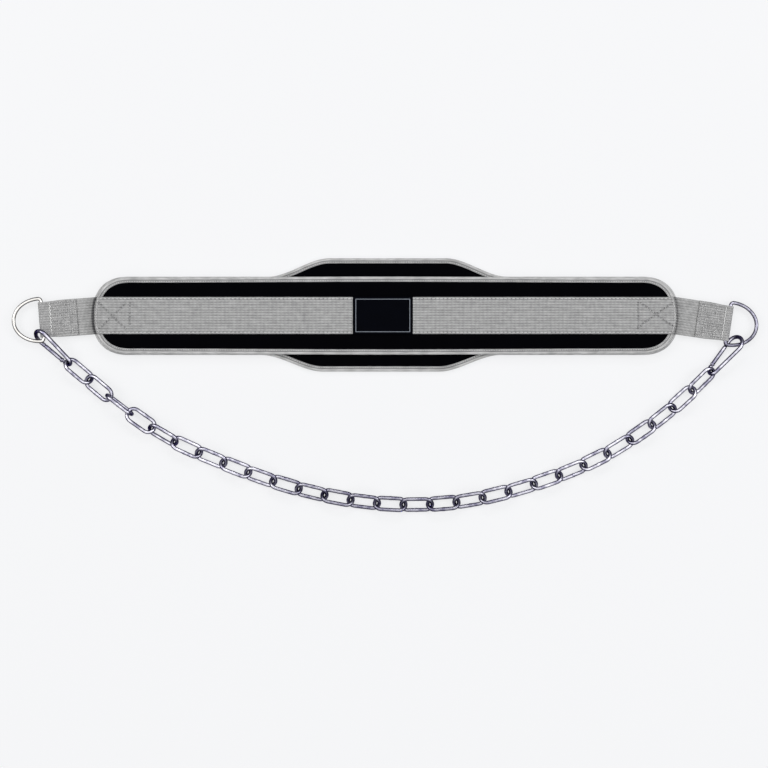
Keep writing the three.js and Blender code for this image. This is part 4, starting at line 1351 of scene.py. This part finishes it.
def gate_rows():
    """The gate's bar, round at its eye and narrower at its tip."""
    radius = np.full(len(GATE_PLACES), GATE_HALF)
    eye = GATE_PLACES[:6]
    radius[:len(eye)] = np.sqrt(np.maximum(GATE_EYE ** 2 - eye ** 2, HAIR))
    radius[-len(GATE_TIP):] = GATE_TIP
    squeeze = np.full(len(GATE_PLACES), GATE_HALF)
    return round_wire(np.stack([GATE_PLACES, 0 * GATE_PLACES], 1), radius, WIRE_SIDES, False, squeeze)


hole = lathe([(HOLE_RADIUS, -HOLE_REACH), (HOLE_RADIUS, HOLE_REACH)], WIRE_SIDES)
rivet_profile = [*RIVET_DOME, *[(radius, -height) for radius, height in reversed(RIVET_DOME)]]
for side in SIDES:
    hook_at, gate_at = hook_frame(side), gate_frame(side)
    hook = loft(f"snap_hook_{side}", put(hook_rows(), hook_at), hook_steel)
    cut_away(hook, [(hole, gate_at)])
    gate = loft(f"hook_gate_{side}", put(gate_rows(), gate_at), hook_steel)
    cut_away(gate, [(brick(FORK_LOW, FORK_HIGH), gate_at), (hole, gate_at)])
    rivet = loft(f"hook_rivet_{side}", put(lathe(rivet_profile, WIRE_SIDES), gate_at), rivet_steel)
    shade_by_angle(rivet.data, RIVET_ANGLE)
    for piece, solid in ((hook, "hook"), (gate, "gate"), (rivet, "rivet")):
        store_painted_edge_shade(piece)
        dress(piece, [f"{solid}_{side}"], f"{side}_gate" if solid == "gate" else "belt")

# %% [markdown]
# ## Chain
#
# Twenty-seven equal links are a job for Geometry Nodes: one link is built in the
# tree and placed on twenty-seven points. Each link is a bent wire whose ends were
# welded in the middle of one leg, and the weld leaves a small bead. The points and
# the two directions of each link come from the link's own solid.

# %% Where the links are
def link_frame(name):
    """A link's middle, the direction along it, and the direction it faces."""
    solid = np.array([v.co for v in frame["nodes"][name].data.vertices])
    centre = solid.mean(0)
    spread, axes = np.linalg.eigh(np.cov((solid - centre).T))
    return centre, axes[:, 2], axes[:, 0]


link_names = sorted(n for n in frame["nodes"] if n.startswith("link_"))
link_places = [link_frame(name) for name in link_names]
print(len(link_names), "links, the first at", np.round(link_places[0][0], 4))

# %% [markdown]
# Both trees of this lesson, for the links and for the stitches, work alike. A carrier
# mesh of bare points or edges goes in, a shape is placed on each, and one plain mesh
# comes out. So the named inputs, the last nodes and the run of a tree are shared.

# %% Helpers for node trees
def geometry_tree(name, sockets):
    """An empty Geometry Nodes tree with named inputs, and its input and output nodes."""
    tree = bpy.data.node_groups.new(name, "GeometryNodeTree")
    tree.interface.new_socket("Geometry", in_out="INPUT", socket_type="NodeSocketGeometry")
    for label, kind in sockets:
        tree.interface.new_socket(label, in_out="INPUT", socket_type=kind)
    tree.interface.new_socket("Geometry", in_out="OUTPUT", socket_type="NodeSocketGeometry")
    return tree, node(tree, "NodeGroupInput"), node(tree, "NodeGroupOutput")


def grown(carrier, tree, values, name):
    """Runs a tree on a carrier mesh and keeps the result as one plain mesh."""
    growth = carrier.modifiers.new("grow", "NODES")
    growth.node_group = tree
    for item in tree.interface.items_tree:
        if item.item_type == "SOCKET" and item.in_out == "INPUT" and item.name in values:
            growth[item.identifier] = values[item.name]
    graph = bpy.context.evaluated_depsgraph_get()
    mesh = bpy.data.meshes.new_from_object(carrier.evaluated_get(graph))
    carrier.modifiers.remove(growth)
    bpy.data.objects.remove(carrier)
    mesh.name = name
    mesh.polygons.foreach_set("use_smooth", [True] * len(mesh.polygons))
    return link_object(name, mesh)


def tree_math(tree, action, first, second=0.0):
    return node(tree, "ShaderNodeMath", {"operation": action}, {0: first, 1: second}).outputs[0]


def tube_along(tree, line, profile, **settings):
    """A tube with the given profile along a line."""
    return node(tree, "GeometryNodeCurveToMesh", inputs={
        "Curve": line, "Profile Curve": profile, **settings}).outputs["Mesh"]


def turned_to(tree, up, along):
    """The turn that points Z and X in two given directions."""
    return node(tree, "FunctionNodeAxesToRotation", {"primary_axis": "Z", "secondary_axis": "X"}, {
        0: up, 1: along}).outputs["Rotation"]


def place_all(tree, given, result, points, shape, turn, **settings):
    """Puts a shape on every point, makes the copies real and gives them their finish."""
    placed = node(tree, "GeometryNodeInstanceOnPoints", inputs={
        "Points": points, "Instance": shape, "Rotation": turn, **settings})
    real = node(tree, "GeometryNodeRealizeInstances", inputs={"Geometry": placed.outputs["Instances"]})
    coated = node(tree, "GeometryNodeSetMaterial", inputs={
        "Geometry": real.outputs["Geometry"], "Material": given.outputs["Finish"]})
    tree.links.new(coated.outputs["Geometry"], result.inputs["Geometry"])
    print(f"{tree.name}: a tree of {len(tree.nodes)} nodes")


def vector_layer(mesh, name, values):
    layer = mesh.attributes.new(name, "FLOAT_VECTOR", "POINT")
    layer.data.foreach_set("vector", np.asarray(values, float).ravel())


print("tree helpers are ready")

# %% [markdown]
# A link starts as a rectangle of the wire's middle line. Its corners are rounded
# until the short sides are half circles, and a circle is swept along it. Where the
# weld is, the sweep's scale grows by a little.

# %% Build the link tree
BEND_POINTS, WIRE_POINTS, LINE_STEP = 14, 14, 1.6 * MM
WELD_EDGE, WELD_FULL = 2.6 * MM, 0.4 * MM
ALMOST_HALF = 0.4999
chain_tree, given, result = geometry_tree("chain of links", [
    ("Inside length", "NodeSocketFloat"), ("Inside width", "NodeSocketFloat"),
    ("Wire", "NodeSocketFloat"), ("Weld", "NodeSocketFloat"), ("Finish", "NodeSocketMaterial")])


def named_vector(tree, name):
    return node(tree, "GeometryNodeInputNamedAttribute", {"data_type": "FLOAT_VECTOR"}, {
        "Name": name}).outputs["Attribute"]


long_side = tree_math(chain_tree, "ADD", given.outputs["Inside length"], given.outputs["Wire"])
short_side = tree_math(chain_tree, "ADD", given.outputs["Inside width"], given.outputs["Wire"])
box_line = node(chain_tree, "GeometryNodeCurvePrimitiveQuadrilateral", inputs={
    "Width": long_side, "Height": short_side})
rounded = node(chain_tree, "GeometryNodeFilletCurve", {"mode": "POLY"}, {
    "Curve": box_line.outputs["Curve"], "Count": BEND_POINTS,
    "Radius": tree_math(chain_tree, "MULTIPLY", short_side, ALMOST_HALF), "Limit Radius": True})
even = node(chain_tree, "GeometryNodeResampleCurve", {"mode": "LENGTH"}, {
    "Curve": rounded.outputs["Curve"], "Length": LINE_STEP})
spot = parts_of(chain_tree, node(chain_tree, "GeometryNodeInputPosition").outputs["Position"])
near_weld = node(chain_tree, "ShaderNodeMapRange", {"interpolation_type": "SMOOTHSTEP"}, {
    "Value": tree_math(chain_tree, "ABSOLUTE", spot["X"]),
    "From Min": WELD_EDGE, "From Max": WELD_FULL, "To Min": 0.0, "To Max": 1.0}).outputs[0]
on_one_leg = tree_math(chain_tree, "GREATER_THAN", spot["Y"], 0.0)
bead = tree_math(chain_tree, "MULTIPLY", near_weld, on_one_leg)
bead = tree_math(chain_tree, "MULTIPLY", bead, given.outputs["Weld"])
thick = node(chain_tree, "GeometryNodeSetCurveRadius", inputs={
    "Curve": even.outputs["Curve"], "Radius": tree_math(chain_tree, "ADD", bead, 1.0)})
circle = node(chain_tree, "GeometryNodeCurvePrimitiveCircle", inputs={
    "Resolution": WIRE_POINTS, "Radius": tree_math(chain_tree, "MULTIPLY", given.outputs["Wire"], 0.5)})
radius_there = node(chain_tree, "GeometryNodeInputRadius").outputs["Radius"]
link_tube = tube_along(
    chain_tree, thick.outputs["Curve"], circle.outputs["Curve"], Scale=radius_there)
facing = turned_to(chain_tree, named_vector(chain_tree, "face"), named_vector(chain_tree, "along"))
place_all(chain_tree, given, result, given.outputs["Geometry"], link_tube, facing)

# %% [markdown]
# The carrier of the chain has one point for each link, with the link's two directions
# kept on it. Half of the links, taken by chance, are turned end for end, so that the
# weld beads don't all lie on one side. The links in the middle of the chain get a
# deeper painted shade than those near the hooks.

# %% Grow the chain
LINK_SIZES = {"Inside length": 36.9 * MM, "Inside width": 13.6 * MM, "Wire": 5.2 * MM, "Weld": 0.10}
MIDDLE_SHADE, MIDDLE_SHADE_WITHIN, MIDDLE_SHADE_BEYOND = 0.72, 80, 270

centres, alongs, faces = zip(*link_places)
seeds = bpy.data.meshes.new("chain_points")
seeds.from_pydata([tuple(centre) for centre in centres], [], [])
flips = np.where(np.random.default_rng(7).random(len(link_places)) < 0.5, -1, 1)
vector_layer(seeds, "along", np.array(alongs) * flips[:, None])
vector_layer(seeds, "face", faces)
carrier = link_object("chain_points", seeds)
chain = grown(carrier, chain_tree, {**LINK_SIZES, "Finish": chain_steel}, "steel_chain")
face_out(chain.data)
from_middle = np.abs([v.co.x for v in chain.data.vertices]) / MM
# Painted shade, deeper on the links in the middle of the chain.
store_painted_edge_shade(chain, MIDDLE_SHADE * (1 - ease(from_middle, MIDDLE_SHADE_WITHIN, MIDDLE_SHADE_BEYOND)))
dress(chain, link_names)

# %% [markdown]
# ## Threads
#
# Now the threads themselves. A stitch is a short arch of thread whose ends dive into
# the cloth. Geometry Nodes put one arch on every dash: an edge of the carrier mesh is
# a dash, and its two ends give the stitch its length and direction.

# %% Build the stitch tree
ARCH_POINTS, THREAD_SIDES = 4, 6
THINNEST, THICKEST = 0.85, 1.15
stitch_tree, given, result = geometry_tree("rows of stitches", [
    ("Thread radius", "NodeSocketFloat"), ("Rise", "NodeSocketFloat"), ("Sink", "NodeSocketFloat"),
    ("Seed", "NodeSocketInt"), ("Finish", "NodeSocketMaterial")])


def tree_vector(tree, action, first, second=None):
    inputs = {0: first} if second is None else {0: first, 1: second}
    return node(tree, "ShaderNodeVectorMath", {"operation": action}, inputs).outputs


def joined_vector(tree, **parts):
    return node(tree, "ShaderNodeCombineXYZ", inputs=parts).outputs["Vector"]


ends = node(stitch_tree, "GeometryNodeInputMeshEdgeVertices").outputs
span = tree_vector(stitch_tree, "SUBTRACT", ends["Position 2"], ends["Position 1"])["Vector"]
kept = node(stitch_tree, "GeometryNodeCaptureAttribute", {"domain": "EDGE"})
kept.capture_items.new("VECTOR", "Span")
stitch_tree.links.new(given.outputs["Geometry"], kept.inputs["Geometry"])
stitch_tree.links.new(span, kept.inputs["Span"])
spots = node(stitch_tree, "GeometryNodeMeshToPoints", {"mode": "EDGES"}, {"Mesh": kept.outputs["Geometry"]})
sink = tree_math(stitch_tree, "MULTIPLY", given.outputs["Sink"], -1.0)
rise = tree_math(stitch_tree, "MULTIPLY", given.outputs["Rise"], 2.0)
arch = node(stitch_tree, "GeometryNodeCurveQuadraticBezier", inputs={
    "Resolution": ARCH_POINTS, "Start": joined_vector(stitch_tree, X=-0.5, Z=sink),
    "Middle": joined_vector(stitch_tree, Z=rise), "End": joined_vector(stitch_tree, X=0.5, Z=sink)})
thread = node(stitch_tree, "GeometryNodeCurvePrimitiveCircle", inputs={
    "Resolution": THREAD_SIDES, "Radius": given.outputs["Thread radius"]})
stitch_tube = tube_along(
    stitch_tree, arch.outputs["Curve"], thread.outputs["Curve"], **{"Fill Caps": True})
vary = node(stitch_tree, "FunctionNodeRandomValue", {"data_type": "FLOAT"}, {
    2: THINNEST, 3: THICKEST, "Seed": given.outputs["Seed"]}).outputs[1]
long = tree_vector(stitch_tree, "LENGTH", kept.outputs["Span"])["Value"]
place_all(
    stitch_tree, given, result, spots.outputs["Points"], stitch_tube,
    turned_to(stitch_tree, (0, 0, 1), kept.outputs["Span"]),
    Scale=joined_vector(stitch_tree, X=long, Y=vary, Z=vary))

# %% [markdown]
# Each seam has its own thread: its radius, how high its arches rise and how deep
# their ends sink, in millimetres. The rows lie on the cloth that they hold, so each
# gets the height of its strap, a little lower where the stitches are pulled tight.

# %% Sew the rows
EDGE_THREAD, CROSS_THREAD, ZIGZAG_THREAD = (0.5, 0.42, 0.6), (0.45, 0.22, 0.6), (0.38, 0.4, 0.5)
BINDING_THREAD, QUILT_THREAD, LOOP_THREAD = (0.36, 0.34, 0.5), (0.34, 0.34, 0.5), (0.55, 0.8, 0.5)
ON_WEBBING, IN_WEBBING = WEBBING_TOP - 0.05, WEBBING_TOP - 0.35
THREAD_SEAT, BINDING_DASH = 0.12, 0.36
LOOP_HEIGHT = {"left": 11.4, "right": 12.9}


def sew(name, seed, slot_name, finish, thread, pairs):
    """Turns dashes, as pairs of points in millimetres, into threads."""
    radius, rise, sink = thread
    mesh = bpy.data.meshes.new(name)
    points = in_frame(pairs.reshape(-1, 3))
    mesh.from_pydata(points.tolist(), [(2 * k, 2 * k + 1) for k in range(len(points) // 2)], [])
    piece = grown(link_object(name, mesh), stitch_tree, {
        "Thread radius": radius * MM, "Rise": rise * MM, "Sink": sink * MM,
        "Seed": seed, "Finish": finish}, name)
    dress(piece, [])


def at_height(pairs, height):
    return np.concatenate([pairs, np.full(pairs.shape[:-1] + (1,), float(height))], -1)


def binding_dashes(edge, bottom, height):
    """Dashes along the flat half of a binding, between the dips of its ribbon."""
    line, outwards, step = edge
    count = len(line)
    stitches = round(count * step / BINDING_STITCH)
    marks = (np.arange(stitches) + 0.5) / stitches * count
    inner = line - outwards * STITCH_INSET
    inner = np.vstack([inner, inner[:1]])
    ends = []
    for shift in (-BINDING_DASH, BINDING_DASH):
        at = (marks + shift * BINDING_STITCH / step) % count
        flat = np.stack([np.interp(at, np.arange(count + 1), inner[:, k]) for k in (0, 1)], 1)
        up = bottom(flat[:, 0]) + height - THREAD_SEAT
        ends.append(np.concatenate([flat, up[:, None]], 1))
    return np.stack(ends, 1)


seams = [
    ("webbing_edge_stitches", 1, "webbing", pale_thread, EDGE_THREAD, at_height(edge_dashes, ON_WEBBING)),
    ("webbing_cross_stitches", 2, "webbing", grey_thread, CROSS_THREAD, at_height(cross_dashes, IN_WEBBING)),
    ("webbing_zigzags", 3, "webbing", pale_thread, ZIGZAG_THREAD, at_height(zigzag_dashes, ON_WEBBING)),
    ("front_binding_stitches", 4, "binding_tape", pale_thread, BINDING_THREAD,
     binding_dashes(front_edge, front_low_edge, FRONT_TAPE_HEIGHT)),
    ("back_binding_stitches", 5, "binding_tape", pale_thread, BINDING_THREAD,
     binding_dashes(back_edge, flat_on_floor, BACK_TAPE_HEIGHT)),
]
for seed, side in enumerate(SIDES, start=6):
    quilted = at_height(quilting[side], BAR_HEIGHT + LAYER - THREAD_SEAT)
    looped = at_height(loop_row[side], LOOP_HEIGHT[side])
    seams += [
        (f"tail_quilting_{side}", seed, "webbing", pale_thread, QUILT_THREAD, tail_place(side, quilted)),
        (f"tail_zigzag_{side}", seed + 2, "webbing", white_thread, LOOP_THREAD, tail_place(side, looped)),
    ]
for seam in seams:
    sew(*seam)
